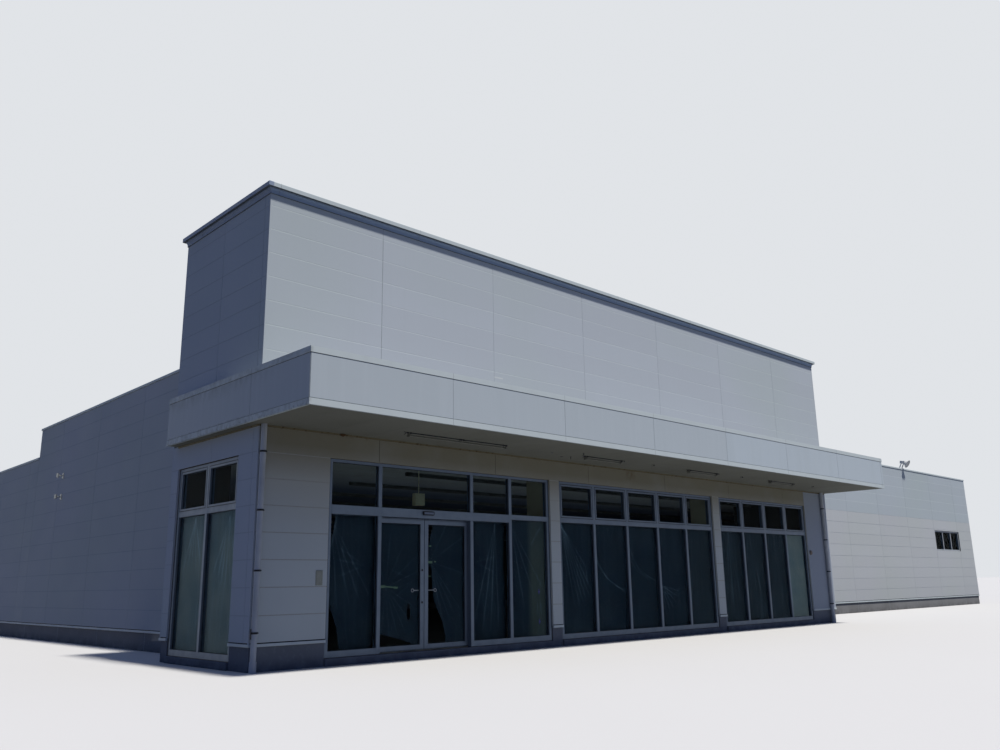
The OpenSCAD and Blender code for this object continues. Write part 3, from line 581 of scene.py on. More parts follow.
def fascia_panel(colour):
    """Painted aluminium panel: smooth, with soft pale rain streaks below the coping.

    On the left side of the canopy, where the rain stands, faint algae grows down from the coping,
    and dirt has gathered along the foot of the panel.
    """
    material, tree, shader = new_material("painted_aluminium_panel", 0.45, ior=1.15)
    tone = add_node(tree, "ShaderNodeAttribute", attribute_name="tone").outputs["Fac"]
    low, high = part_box("canopy_fascia")
    side = overlap(tree, between(tree, "X", low.x + 0.06, low.x + 0.02), between(tree, "Y", -0.6, 0.2))
    algae = overlap(tree, side, between(tree, "Z", high.z - 0.13, high.z - 0.01),
                    patches(tree, real_mm(110), 0.32, 0.72, 0.4, (1, 1, 0.5), 8.0))
    runs = overlap(tree, side, between(tree, "Z", low.z, high.z),
                   patches(tree, real_mm(90), 0.45, 0.8, 0.4, (1, 1, 0.08)))
    dirt = overlap(tree, side, between(tree, "Z", low.z + 0.022, low.z + 0.004),
                   patches(tree, real_mm(60), 0.42, 0.66, 0.4, (1, 1, 1), 6.0))
    paint(tree, shader, shade(colour, 0.97), (tone, tinted(colour, (1.04, 1.07, 1.1))),
          (patches(tree, real_mm(110), 0.5, 0.75, 0.3, (1, 1, 0.05)), shade(colour, 1.1)),
          (patches(tree, real_mm(420), 0.5, 0.75, 0.35, (1, 1, 0.15)), tinted(colour, (0.93, 0.95, 0.95))),
          (runs, tinted(colour, (0.7, 0.72, 0.72))), (dirt, hex_colour("#5C5C50")),
          (algae, hex_colour("#565E5B")))
    grain(tree, shader, real_mm(700), real_mm(3), 0.15, detail=1.0)
    return material


def silicate_board():
    """Calcium silicate board under dead matt paint, a dark warm grey from dirt and painted shade, with old
    water marks.
    """
    material, tree, shader = new_material("calcium_silicate_board", 0.82, ior=1.15)
    tone = add_node(tree, "ShaderNodeAttribute", attribute_name="tone").outputs["Fac"]
    marks = overlap(tree, between(tree, "Y", -0.16, -0.01), patches(tree, real_mm(240), 0.45, 0.7, 0.6))
    # Dark warm grey: dirt, and painted shade under the canopy
    paint(tree, shader, hex_colour("#6D6F69"), (tone, hex_colour("#72746E")),
          (patches(tree, real_mm(900), 0.45, 0.7, 0.5), hex_colour("#666760")),
          (marks, hex_colour("#625E4E")))
    grain(tree, shader, real_mm(9), real_mm(0.5), 0.3)
    return material


def joint_sealant(name, first, second):
    """Silicone joint filler: soft and dull, in places paler with trapped dust."""
    material, tree, shader = new_material(name, 0.75, ior=1.2)
    tone = add_node(tree, "ShaderNodeAttribute", attribute_name="tone").outputs["Fac"]
    paint(tree, shader, hex_colour(first), (tone, hex_colour(second)),
          (patches(tree, real_mm(400), 0.5, 0.75, 0.5), hex_colour(second)))
    grain(tree, shader, real_mm(8), real_mm(0.6), 0.3)
    return material


def anodised_aluminium():
    """Extruded aluminium with a clear anodised skin: satin, with hair lines along the bars."""
    material, tree, shader = new_material("anodised_aluminium", 0.42, metallic=0.5)
    colour = hex_colour("#515F73")
    paint(tree, shader, colour, (patches(tree, real_mm(18), 0.3, 0.7, 0.6, (1, 1, 0.02)), shade(colour, 0.9)),
          (patches(tree, real_mm(200), 0.55, 0.75, 0.3, (1, 1, 0.3)), shade(colour, 0.75)))
    tree.links.new(patches(tree, real_mm(150), -0.8, 1.6, 1.0), shader.inputs["Roughness"])
    grain(tree, shader, real_mm(16), real_mm(0.3), 0.2, (1, 1, 0.02))
    return material


def float_glass():
    """Float glass: clear and flat, with a faint blue green body and a slight roller wave.

    Its shine is held low, because the studio's backdrop is far brighter than a street at the back.
    """
    material, tree, shader = new_material("float_glass", 0.0, ior=1.03)
    shader.inputs["Transmission Weight"].default_value = 1.0
    paint(tree, shader, hex_colour("#C9D8E2"),
          (patches(tree, real_mm(900), 0.4, 0.7, 0.4), hex_colour("#BCCBD3")))
    grain(tree, shader, real_mm(1400), real_mm(1), 0.08, detail=0.0)
    return material


def polythene_film(name, colour, crease):
    """Thin polythene film: limp and dull, bluish, and whitened along every crease."""
    material, tree, shader = new_material(name, 0.6, ior=1.1)
    tone = add_node(tree, "ShaderNodeAttribute", attribute_name="tone").outputs["Fac"]
    dust = overlap(tree, between(tree, "Z", 0.5, 0.1), patches(tree, real_mm(500), 0.3, 0.7, 0.35))
    # The film is darker toward its top
    darker_top = between(tree, "Z", 0.95, 1.35, 0.35)
    # A pale wall shows through the film in the right half of the last bay and from the last middle pane on
    lit = overlap(tree, between(tree, "X", 1.42, 1.5, 0.85), between(tree, "X", 1.8, 1.75))
    faint = between(tree, "X", 4.3, 4.5, 0.14)
    olive = hex_colour("#4D514C")
    paint(tree, shader, colour,
          (patches(tree, real_mm(700), 0.35, 0.7, 0.7), tinted(colour, (0.45, 0.6, 0.75))),
          (lit, olive), (faint, olive), (darker_top, shade(crease, 0.3)), (dust, shade(crease, 0.35)),
          (tone, crease))
    grain(tree, shader, real_mm(300), real_mm(1), 0.05, (1, 1, 0.35), 0.0)
    return material


def cast_concrete(name, colour):
    """Cast and rubbed concrete: dusty grey with soft blotches and fine pores, darker at the splash line."""
    material, tree, shader = new_material(name, 0.85, ior=1.12)
    damp = overlap(tree, between(tree, "Z", 0.1, 0.0), patches(tree, real_mm(220), 0.3, 0.6, 0.7))
    paint(tree, shader, colour,
          (patches(tree, real_mm(1100), 0.35, 0.7, 0.7, detail=6.0), shade(colour, 0.74)),
          (patches(tree, real_mm(60), 0.55, 0.7, 0.25), shade(colour, 1.35)), (damp, shade(colour, 0.45)))
    grain(tree, shader, real_mm(25), real_mm(1.5), 0.35, detail=6.0)
    return material


def tiled(name, first, second, joint, width, row, offset, roughness):
    """Sheets or tiles laid side by side with narrow joints, in two close colours."""
    material, tree, shader = new_material(name, roughness)
    spot = add_node(tree, "ShaderNodeTexCoord").outputs["Object"]
    tile = add_node(tree, "ShaderNodeTexBrick", {
        "Vector": spot, "Color1": hex_colour(first), "Color2": hex_colour(second),
        "Mortar": hex_colour(joint),
        "Scale": 1.0, "Mortar Size": real_mm(4), "Brick Width": real_mm(width), "Row Height": real_mm(row),
    }, offset=offset)
    paint(tree, shader, tile.outputs["Color"],
          (patches(tree, real_mm(1500), 0.4, 0.7, 0.4), hex_colour(joint)))
    grain(tree, shader, real_mm(12), real_mm(1), 0.3)
    return material


def ceiling_board():
    """Mineral fibre ceiling board: dull, with joints that catch dust, and painted shade that makes it darker
    and bluer deep inside.
    """
    material, tree, shader = new_material("mineral_ceiling_board", 0.9, ior=1.15)
    spot = add_node(tree, "ShaderNodeTexCoord").outputs["Object"]
    board = add_node(tree, "ShaderNodeTexBrick", {
        "Vector": spot, "Color1": hex_colour("#A3A6A2"), "Color2": hex_colour("#9B9E9A"),
        "Mortar": hex_colour("#6E6F6A"),
        "Scale": 1.0, "Mortar Size": real_mm(6), "Brick Width": real_mm(1820), "Row Height": real_mm(910),
    }, offset=0.5)
    paint(tree, shader, board.outputs["Color"],
          (patches(tree, real_mm(1500), 0.4, 0.7, 0.3), hex_colour("#8B8D88")),
          # Painted shade: darker and bluer deeper inside
          (between(tree, "Y", 0.8, 3.2, 0.9), hex_colour("#3E4A60")))
    grain(tree, shader, real_mm(12), real_mm(1), 0.3)
    return material


def small_part(name, first, second, size, roughness, metallic=0.0, share=(0.35, 0.7)):
    """Finish of a small fitting: two close tones in patches of size millimetres under a fine grain."""
    material, tree, shader = new_material(name, roughness, metallic, 1.5 if metallic else 1.2)
    paint(tree, shader, hex_colour(first), (patches(tree, real_mm(size), *share), hex_colour(second)))
    grain(tree, shader, real_mm(5), real_mm(0.4), 0.2)
    return material


MADE = {}


# Finishes of small fittings: name, two tones, size of the patches in millimetres, roughness,
# and where they differ the metallic share and the limits of the patches
PLAIN_FINISHES = {
    # Inner face of the walls: unpainted backs of the boards, made dark as painted shade of the unlit inside
    "inner_wall": ("bare_fibre_cement", "#353738", "#2E3031", 800, 0.9),
    # Dark coated steel: painted shade under the cornice's cap and in the seam at the foot of its moulding
    "shade_lines": ("shade_line_coated_steel", "#565E66", "#4A5158", 90, 0.7),
    # Lap of two sheets of coated steel: a hair line of grey mastic
    "seam": ("lap_mastic", "#73777F", "#7E828A", 60, 0.6),
    # Extruded PVC cove strip, yellowed, with rusty water marks at its nails
    "cove": ("yellowed_pvc", "#605B49", "#3E3120", 45, 0.6, 0.0, (0.6, 0.66)),
    # Anodised aluminium in the sun, made lighter: painted sunlight
    "sunlit_painted_aluminium": ("sunlit_painted_aluminium", "#9CA5AE", "#8E97A1", 200, 0.5),
    # Emulsion on plasterboard: flat and even, with a faint roller grain
    "casing": ("painted_plasterboard", "#87826F", "#7C7766", 900, 0.75),
    # Moulded PVC: smooth with a low shine, faded by the sun in patches
    "pipe": ("moulded_pvc", "#A4ABB4", "#969DA6", 300, 0.42),
    # Stove enamel on pressed steel: hard and glossy
    "lamp": ("stove_enamel", "#6F716B", "#6A6C66", 200, 0.5),
    # The same enamel indoors, darkened by dust
    "indoor_lamp": ("dusty_stove_enamel", "#5A5C5B", "#505250", 300, 0.5),
    # Painted die casting: dull light grey, made paler still as painted sunlight on the lamp
    "casting": ("painted_die_casting", "#CDD0CF", "#BCC0BF", 200, 0.5),
    # Hot-dip zinc: dull grey with spangles the size of a coin
    "steel": ("galvanised_steel", "#8D9296", "#74797D", 30, 0.5, 0.8),
    # Moulded ABS: dark and satin
    "dark": ("dark_abs", "#1D2027", "#282C34", 60, 0.4),
    # Polished acrylic over the sensor: blue grey and glossy
    "sensor_window": ("acrylic_window", "#6B768A", "#636E82", 80, 0.3),
    # Extruded rubber: black and matt
    "rubber": ("black_rubber", "#191A1C", "#242628", 40, 0.7),
    # Moulded ABS, yellowed by age
    "box": ("cream_abs", "#C6BFA0", "#BBB495", 120, 0.45),
    # The same plastic on the pier, greyed by dust
    "plate": ("grey_abs", "#8C9089", "#838780", 60, 0.5),
    # Vent cap of the same plastic, browned by dust
    "vent_cap": ("dusty_abs", "#77706A", "#5E5852", 40, 0.5),
    # Woven cloth tape: dull green, with thread ends
    "tape": ("cloth_tape", "#6F8069", "#5A6955", 12, 0.75),
    # Cast vinyl sheet: flat white, slightly glossy
    "white": ("white_vinyl", "#959DA2", "#888F94", 40, 0.5),
    # Mud and straw of an old nest: rough and brown
    "mud": ("dried_mud", "#5A4632", "#3C2E20", 14, 0.95),
    # Polyamide clip: smooth violet plastic
    "violet": ("violet_polyamide", "#6A5AA8", "#584A90", 30, 0.4),
}


def material(name):
    """The finish of that name, made once."""
    colours = bpy.context.scene.market_colours
    makers = {
        "siding": lambda: fibre_cement("painted_fibre_cement", colours.siding, (
            (0.907, 1.037, 2.882, 2.895), (7.573, 7.613, 2.88, 2.888))),
        "late_siding": lambda: fibre_cement(
            "late_fibre_cement", tinted(colours.siding, (0.94, 0.965, 0.955))),
        # Board edges in the sun, made lighter: painted highlight
        "chalked_edge": lambda: fibre_cement(
            "chalked_fibre_cement", tinted(colours.siding, (1.14, 1.15, 1.1))),
        # Board edges in the shade, made darker: painted shade
        "shade_edge_paint": lambda: fibre_cement("shade_painted_fibre_cement", shade(colours.siding, 0.76)),
        # Board edges on the shaded left side, a little darker: fainter painted shade
        "faint_edge": lambda: fibre_cement("faint_shade_painted_fibre_cement", shade(colours.siding, 0.84)),
        # Board edges under the canopy, darker and browner: dust and painted shade
        "dust_and_shade_edge_paint": lambda: fibre_cement(
            "dust_and_shade_painted_fibre_cement", tinted(colours.sheltered, (0.82, 0.76, 0.68))),
        "hall": lambda: fibre_cement("hall_fibre_cement", tinted(colours.siding, (1.05, 1.01, 0.96))),
        "sheltered": lambda: sheltered_fibre_cement(colours.sheltered),
        "pier": lambda: fibre_cement("cool_fibre_cement", colours.pier),
        "sealant": lambda: joint_sealant("silicone_sealant", "#7A8488", "#A0A9B2"),
        "aged_sealant": lambda: joint_sealant("aged_silicone_sealant", "#3A342C", "#4A443B"),
        "coping": lambda: coated_steel("coated_steel_coping", colours.coping),
        "cornice": lambda: coated_steel("coated_steel_cornice", colours.coping, cornice=True),
        "trim": lambda: coated_steel("coated_steel_trim", colours.coping, grimy=True),
        "fascia": lambda: fascia_panel(colours.fascia),
        "soffit": silicate_board,
        "roof": lambda: coated_steel("coated_steel_roof", colours.roof, 0.5),
        "aluminium": anodised_aluminium,
        "glass": float_glass,
        "film": lambda: polythene_film("blue_polythene", colours.film, hex_colour("#5E6B76")),
        "pale_film": lambda: polythene_film(
            "frosted_polythene", hex_colour("#888B87"), hex_colour("#AEAFA8")),
        "side_film": lambda: polythene_film("clear_polythene", hex_colour("#676B6B"), hex_colour("#909CA8")),
        "concrete": lambda: cast_concrete("cast_concrete", hex_colour("#7C7E80")),
        "sill_concrete": lambda: cast_concrete("damp_cast_concrete", hex_colour("#6A7079")),
        "ceiling": ceiling_board,
        "floor": lambda: tiled("vinyl_tile", "#6B6860", "#65625B", "#484640", 450, 450, 0.0, 0.4),
    }
    if name not in MADE:
        MADE[name] = small_part(*PLAIN_FINISHES[name]) if name in PLAIN_FINISHES else makers[name]()
    return MADE[name]


# Settings

def length_property(name, description, default):
    return bpy.props.FloatProperty(name=name, description=description, default=default, unit="LENGTH")


def colour_property(name, description, default):
    return bpy.props.FloatVectorProperty(
        name=name, description=description, default=hex_colour(default), size=4, subtype="COLOR",
        min=0.0, max=1.0)


class MarketColours(bpy.types.PropertyGroup):
    """Main colours of the building."""

    siding: colour_property("Siding", "Paint of the wall boards", "#A6AFB7")
    sheltered: colour_property("Sheltered siding", "Paint of the wall boards under the canopy", "#ABB4B8")
    pier: colour_property("End pier", "Paint of the casing on the right end pier", "#919AA6")
    coping: colour_property("Coping", "Coat of copings, cornice and trims", "#AEB9BE")
    fascia: colour_property("Fascia", "Paint of the canopy's panels", "#A3ADB5")
    roof: colour_property("Roof", "Coat of the roof sheets", "#A0A5A8")
    film: colour_property("Film", "Colour of the plastic film behind the glass", "#252F38")


class SidingSettings(bpy.types.PropertyGroup):
    """Sizes of the wall boards."""

    foot: length_property("Foot", "Height of the lowest edge of the boards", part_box("front_piers")[0].z)
    course: length_property("Course", "Height of one row of boards", real_mm(455))
    board: length_property("Board", "Distance between upright joints", real_mm(3040))
    first_joint: length_property("First joint", "Place of an upright joint along the front", -0.615)
    side_joint: length_property("Side joint", "Place of an upright joint along the sides", 0.89)
    lift: length_property("Lift", "How far a board stands out of the wall", real_mm(5))
    joint: length_property("Joint", "Width of an upright joint", real_mm(10))
    slope: length_property("Slope", "Height of the sloping upper edge of a board", real_mm(16))
    vent: length_property("Vent", "Height of the open slot below the lowest row", real_mm(18))
    wing_joint: length_property("Wing joint", "Place of an upright joint along the wing", 15.37)
    corner: length_property("Corner", "Width of the corner boards on the left side", real_mm(180))
    late_courses: bpy.props.IntProperty(
        name="Late courses", description="Number of rows under the wing's coping from another batch",
        default=5)


class CanopySettings(bpy.types.PropertyGroup):
    """Sizes of the canopy's cladding."""

    first_joint: length_property("First joint", "Place of a panel joint along the front", -0.5385)
    panel: length_property("Panel", "Distance between panel joints", real_mm(2950))
    side_joint: length_property("Side joint", "Place of the panel joint on the left side", -0.04)
    first_board: length_property("First board", "Place of a joint between two soffit boards", -1.69)
    board: length_property("Board", "Width of a soffit board", real_mm(910))
    lift: length_property("Lift", "How far a panel stands out", real_mm(5))


class FilmSettings(bpy.types.PropertyGroup):
    """How the plastic films hang."""

    cell: length_property("Cell", "Distance between the points of a film", 0.007)
    end_film_from: length_property("End film", "Where the pale film starts behind the right window", 1.831)
    fold: length_property("Fold", "Depth of the soft upright folds", 0.004)
    white_crease: length_property("White crease", "Depth at which a crease is fully whitened", 0.007)


class StageSettings(bpy.types.PropertyGroup):
    """Camera and light."""

    place: bpy.props.FloatVectorProperty(
        name="Camera", description="Place of the camera", default=(-5.4355, -6.753, 0.6635),
        subtype="TRANSLATION")
    heading: bpy.props.FloatProperty(
        name="Heading", description="Turn of the view away from straight ahead", default=-0.761,
        subtype="ANGLE")
    tilt: bpy.props.FloatProperty(
        name="Tilt", description="Tilt of the view above the horizon", default=0.238, subtype="ANGLE")
    roll: bpy.props.FloatProperty(
        name="Roll", description="Turn of the view about its own line", default=-0.016, subtype="ANGLE")
    lens: bpy.props.FloatProperty(
        name="Lens", description="Focal length in millimetres on a 36 mm sensor", default=31.126)
    sun: bpy.props.FloatProperty(name="Key light", description="Strength of the key light", default=5.2)
    sky: bpy.props.FloatProperty(name="Sky light", description="Strength of the soft light", default=0.26)
    room: bpy.props.FloatProperty(name="Room light", description="Watts of the lamp inside", default=15.0)


class MarketStep:
    """Shared settings of the operators."""

    bl_options = {"REGISTER", "UNDO"}


# Siding

class MARKET_OT_siding(MarketStep, bpy.types.Operator):
    """Cover the walls with rows of fibre-cement boards and trim their corners"""

    bl_idname = "market.siding"
    bl_label = "Siding"

    def execute(self, context):
        settings = context.scene.market_siding
        groups = (
            ("tower_boards", tower_walls(), "siding", 3), ("hall_boards", hall_walls(), "hall", 7),
            ("sheltered_boards", sheltered_walls(), "sheltered", 11),
        )
        for name, walls, finish, seed in groups:
            chance = random.Random(seed)
            form = Form()
            for wall in walls:
                board_wall(form, wall, settings, chance)
            sheltered = finish == "sheltered"
            filler, edge = ("aged_sealant", "dust_and_shade_edge_paint") if sheltered else ("sealant", "shade_edge_paint")
            form.piece(name, f"{finish} {filler} rubber late_siding chalked_edge {edge} faint_edge", "siding")

        casing = Form()
        pier = solids("front_piers")[-1]
        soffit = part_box("canopy_soffit")[0].z
        for wall in (Wall("front", 0, pier.low.x, pier.high.x, pier.low.z, soffit),
                     Wall("right", pier.high.x, 0, CASING_REACH, pier.low.z, soffit)):
            raised_board(casing, wall, wall[2:6], settings.lift, 0.001, 0.001, 0.5)
        casing.piece("end_pier_casing", "pier sealant", "siding")

        trims = Form()
        for corner in wall_corners():
            corner_trim(trims, *corner, leg=real_mm(22), inner=0.0005, outer=settings.lift + 0.0006)
        trims.piece("corner_trims", "siding", "siding")

        finish_nodes("sheltered", "front_piers tower_front_wall")
        finish_nodes("siding", "side_piers")
        finish_nodes("inner_wall", "tower_side_walls return_wall tower_back_wall side_walls_high "
                     "side_walls_low back_wall step_wall wing_front_wall")
        return {"FINISHED"}


def corner_trim(form, x, y, side, face, foot, head, leg, inner, outer):
    """Angle strip over an upright corner; side and face are 1 or -1 for the way out of the building."""
    def at(along, across):
        return x + side * along, y + face * across

    bevel = 0.4 * (outer - inner)
    outline = [at(-leg, outer), at(-leg, inner), at(inner, inner), at(inner, -leg), at(outer, -leg),
               at(outer, outer - bevel), at(outer - bevel, outer)]
    if side * face > 0:
        outline.reverse()
    form.loft([[(*point, z) for point in outline] for z in (foot, head)])


Lines = namedtuple("Lines", "left right depth wing foot head soffit canopy coping")


def tower_lines():
    """Planes and levels between which the faces of the entrance block lie."""
    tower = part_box("tower_front_wall")
    return Lines(
        left=tower[0].x, right=tower[1].x, depth=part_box("tower_back_wall")[1].y,
        wing=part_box("wing_front_wall")[0].y, foot=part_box("front_piers")[0].z,
        head=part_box("tower_cornice")[0].z, soffit=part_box("canopy_soffit")[0].z,
        canopy=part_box("canopy_trims")[1].z, coping=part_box("hall_copings")[1].z)


def wall_corners():
    """Every outer corner as x, y, its two ways out, foot and head."""
    at = tower_lines()
    high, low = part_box("side_walls_high"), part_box("side_walls_low")
    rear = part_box("back_wall")[1].y
    return [
        (at.left, 0, -1, -1, at.foot, at.soffit), (at.left, 0, -1, -1, at.canopy, at.head),
        (at.right, 0, 1, -1, at.foot, at.soffit), (at.right, 0, 1, -1, at.canopy, at.head),
        (at.left, at.depth, -1, 1, at.foot, at.head), (at.right, at.depth, 1, 1, at.coping, at.head),
        (high[1].x, at.wing, 1, -1, at.foot, high[1].z),
        (low[0].x, rear, -1, 1, at.foot, low[1].z), (low[1].x, rear, 1, 1, at.foot, low[1].z),
    ]


def tower_walls():
    """Outer faces of the entrance block that the rain reaches."""
    at = tower_lines()
    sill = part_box("tower_front_wall")[0].z
    side = solids("side_piers")
    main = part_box("side_walls_high")[0].x
    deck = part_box("hall_roof")[1].z
    corner = bpy.context.scene.market_siding.corner
    return [
        Wall("front", 0, at.left, at.right, at.canopy, at.head),
        Wall("left", at.left, 0, side[0].high.y, at.foot, sill, corner=corner),
        Wall("left", at.left, side[1].low.y, at.depth, at.foot, sill),
        Wall("left", at.left, 0, at.depth, sill, at.soffit, corner=corner),
        Wall("left", at.left, 0, at.depth, at.canopy, at.head, corner=corner),
        Wall("right", at.right, CASING_REACH, at.wing, at.foot, at.soffit),
        Wall("right", at.right, 0, at.wing, at.soffit, at.head),
        Wall("right", at.right, at.wing, at.depth, at.coping, at.head),
        Wall("back", at.depth, main, at.right, deck, at.head),
        Wall("back", at.depth, at.left, main, at.foot, at.head),
    ]


def sheltered_walls():
    """Front wall under the canopy, without the last pier."""
    piers = solids("front_piers")
    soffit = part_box("canopy_soffit")[0].z
    walls = [Wall("front", 0, pier.low.x, pier.high.x, pier.low.z, pier.high.z) for pier in piers[:-1]]
    return walls + [Wall("front", 0, piers[0].low.x, piers[-1].low.x, piers[0].high.z, soffit)]


# Canopy

class MARKET_OT_canopy(MarketStep, bpy.types.Operator):
    """Panel the canopy, line its underside and mark the seams of its trims"""

    bl_idname = "market.canopy"
    bl_label = "Canopy"

    def execute(self, context):
        settings = context.scene.market_canopy
        low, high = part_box("canopy_fascia")
        main_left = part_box("tower_front_wall")[0].x
        trim_gap, wall_gap, cove_gap = 0.0022, 0.003, 0.012
        walls = [
            Wall("front", low.y, low.x, high.x, low.z, high.z),
            Wall("left", low.x, low.y, high.y, low.z, high.z),
            Wall("right", high.x, low.y, -wall_gap, low.z, high.z),
            Wall("back", high.y, low.x, main_left, low.z, high.z),
        ]
        joints = {
            "front": steps_between(low.x, high.x, settings.first_joint, settings.panel),
            "left": [low.y, settings.side_joint, high.y],
            "right": [low.y, -wall_gap],
            "back": [low.x, main_left],
        }
        chance = random.Random(5)
        panels = Form()
        for wall in walls:
            marks = joints[wall.facing]
            for number, (start, end) in enumerate(zip(marks, marks[1:])):
                tone = chance.uniform(0.15, 0.35)
                if wall.facing == "front" and number > 3:
                    tone = chance.uniform(0.75, 0.9)
                area = (start, end, wall.foot + trim_gap, wall.head - trim_gap)
                raised_board(panels, wall, area, settings.lift, 0.004, 0.001, tone, joint_tone=0.0)
        panels.piece("canopy_panels", "fascia sealant", "fascia_panel")

        seams = Form()
        for trim_low, trim_high in solids("canopy_trims"):
            for wall in walls[:2]:
                plane = trim_low.y if wall.facing == "front" else trim_low.x
                face = wall._replace(plane=plane)
                for mark in joints[wall.facing][1:-1]:
                    seam(seams, face, mark, 0.0012, trim_low.z, trim_high.z, 0.0005)
        seams.piece("canopy_seams", "seam", "coping_metal")

        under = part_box("canopy_soffit")
        boards = Form()
        below = Wall("below", under[0].z, under[0].x, under[1].x, under[0].y, -cove_gap)
        columns = steps_between(below.start, below.end, settings.first_board, settings.board)
        for start, end in zip(columns, columns[1:]):
            tone = 0.5 + chance.uniform(-0.35, 0.35)
            raised_board(boards, below, (start, end, below.foot, below.head), 0.0012, 0.0022, 0.0006, tone)
        side = (under[0].x, main_left - cove_gap, -cove_gap, under[1].y)
        raised_board(boards, below, side, 0.0012, 0.0022, 0.0006, 0.5)
        boards.piece("soffit_boards", "soffit sealant", "soffit_board")

        cove = Form()
        profile = [(0.0005, 0.0), (0.0165, 0.0), (0.0165, -0.0035), (0.009, -0.005), (0.0055, -0.017),
                   (0.0005, -0.017)]
        path = [(main_left, under[1].y), (main_left, 0), (under[1].x, 0)]
        sweep(cove, path[::-1], [(-out, under[0].z + up) for out, up in profile][::-1])
        cove.piece("soffit_cove", "cove", "soffit_board")

        soffit_hatch(under[0].z)
        soffit_stubs(under[0].z)
        old_nest(under[0].z)
        finish_nodes("soffit", "canopy_soffit")
        # The fascia shows only in the gaps round its panels: its dark sealant is the joint there, and also
        # paints the shade line under the coping
        finish_nodes("aged_sealant", "canopy_fascia")
        finish_nodes("roof", "canopy_roof")
        finish_nodes("trim", "canopy_trims")
        return {"FINISHED"}


def seam(form, wall, along, half, foot, head, lift):
    """Thin upright strip on a wall, which marks a joint."""
    form.loft([rectangle(wall, along - half, along + half, foot, head, height) for height in (-0.0005, lift)])


def soffit_hatch(level):
    """Access hatch in the underside of the canopy, with its frame and catch."""
    below = Wall("below", level)
    hatch = Form()
    x0, x1, y0, y1 = area = (1.22, 1.52, -0.425, -0.145)
    rim = 0.012
    framed(hatch, below, area, rim, 0.001, 0.0018)
    raised_board(hatch, below, (x0 + rim, x1 - rim, y0 + rim, y1 - rim), 0.0014, 0.002, 0.0005, 0.3)
    hatch.block((1.363, -0.412, level - 0.006), (1.377, -0.398, level - 0.001), 2, bevel=0.001)
    hatch.piece("soffit_hatch", "soffit aged_sealant aluminium", "soffit_board")


def soffit_stubs(level):
    """Pipe ends and a blank plate under the canopy, the wires of every strip light, and a dark strip along
    its front that paints the shade of its empty slot.
    """
    stubs = Form()
    pipe_radius = 0.0035
    for x, y, length in ((1.775, -0.31, 0.028), (1.68, -0.585, 0.024)):
        stubs.tube([(x, y, level), (x, y, level - length)], pipe_radius)
        stubs.tube([(x, y, level - 0.0005), (x, y, level - 0.004)], 3 * pipe_radius)
    stubs.tube([(1.665, -0.27, level - 0.0005), (1.665, -0.27, level - 0.004)], 0.016, 20)
    for low, high in solids("strip_lights"):
        x, y = low.x, (low.y + high.y) / 2
        # Loose wires cross at the left end, and short ends hang at the middle and the right end
        stubs.tube([(x - 0.06, y - 0.012, level - 0.001), (x - 0.035, y - 0.012, level - 0.014),
                    (x + 0.004, y - 0.012, level - 0.004)], 0.0022, 8)
        stubs.tube([(x - 0.058, y - 0.014, level - 0.03), (x - 0.035, y - 0.014, level - 0.008),
                    (x - 0.01, y - 0.014, level - 0.001)], 0.0022, 8)
        for along, drop in ((0.6, 0.03), (0.625, 0.026), (1.19, 0.03)):
            root, tip = x + along, x + along - 0.008
            stubs.tube([(root, y - 0.024, level - 0.001), (tip, y - 0.028, level - drop)], 0.002, 8)
        # Dark strip along the front of the strip light: painted shade of its empty tube slot
        stubs.block((x + 0.01, low.y - 0.0015, level - 0.014), (high.x - 0.004, low.y + 0.001, level - 0.006))
        for start, length in ((0.005, 0.01), (0.612, 0.014), (0.652, 0.01), (1.222, 0.016)):
            stubs.block((x + start, low.y - 0.005, level - 0.018),
                        (x + start + length, low.y + 0.002, level - 0.003))
    stubs.piece("soffit_stubs", "dark", "lamp_metal")


def old_nest(level):
    """Remains of a nest where the canopy meets the wall."""
    nest = Form()
    chance = random.Random(2)
    x, y, sides = -1.045, -0.022, 14
    rings = []
    for share, radius in ((0, 0.028), (0.35, 0.03), (0.7, 0.02), (1, 0.006)):
        ring = []
        for i in range(sides):
            turn = 2 * math.pi * i / sides
            reach = radius * chance.uniform(0.75, 1.2)
            ring.append((x + reach * math.cos(turn), y + 0.55 * reach * math.sin(turn),
                         level - 0.003 - 0.024 * share))
        rings.append(ring[::-1])
    nest.loft(rings)
    nest.piece("old_nest", "mud", "soffit_board", smooth=60)


def framed(form, wall, area, width, foot, lift):
    """Flat ring round a rectangle on a wall: width wide, from foot to lift in front of it."""
    a0, a1, u0, u1 = area

    def ring(inset, height):
        return rectangle(wall, a0 + inset, a1 - inset, u0 + inset, u1 - inset, height)

    bevel = 0.3 * min(width, abs(lift - foot))
    rings = [ring(0, foot), ring(0, lift - bevel), ring(bevel, lift), ring(width - bevel, lift),
             ring(width, lift - bevel), ring(width, foot), ring(0, foot)]
    form.loft(rings, caps=False)


# Copings

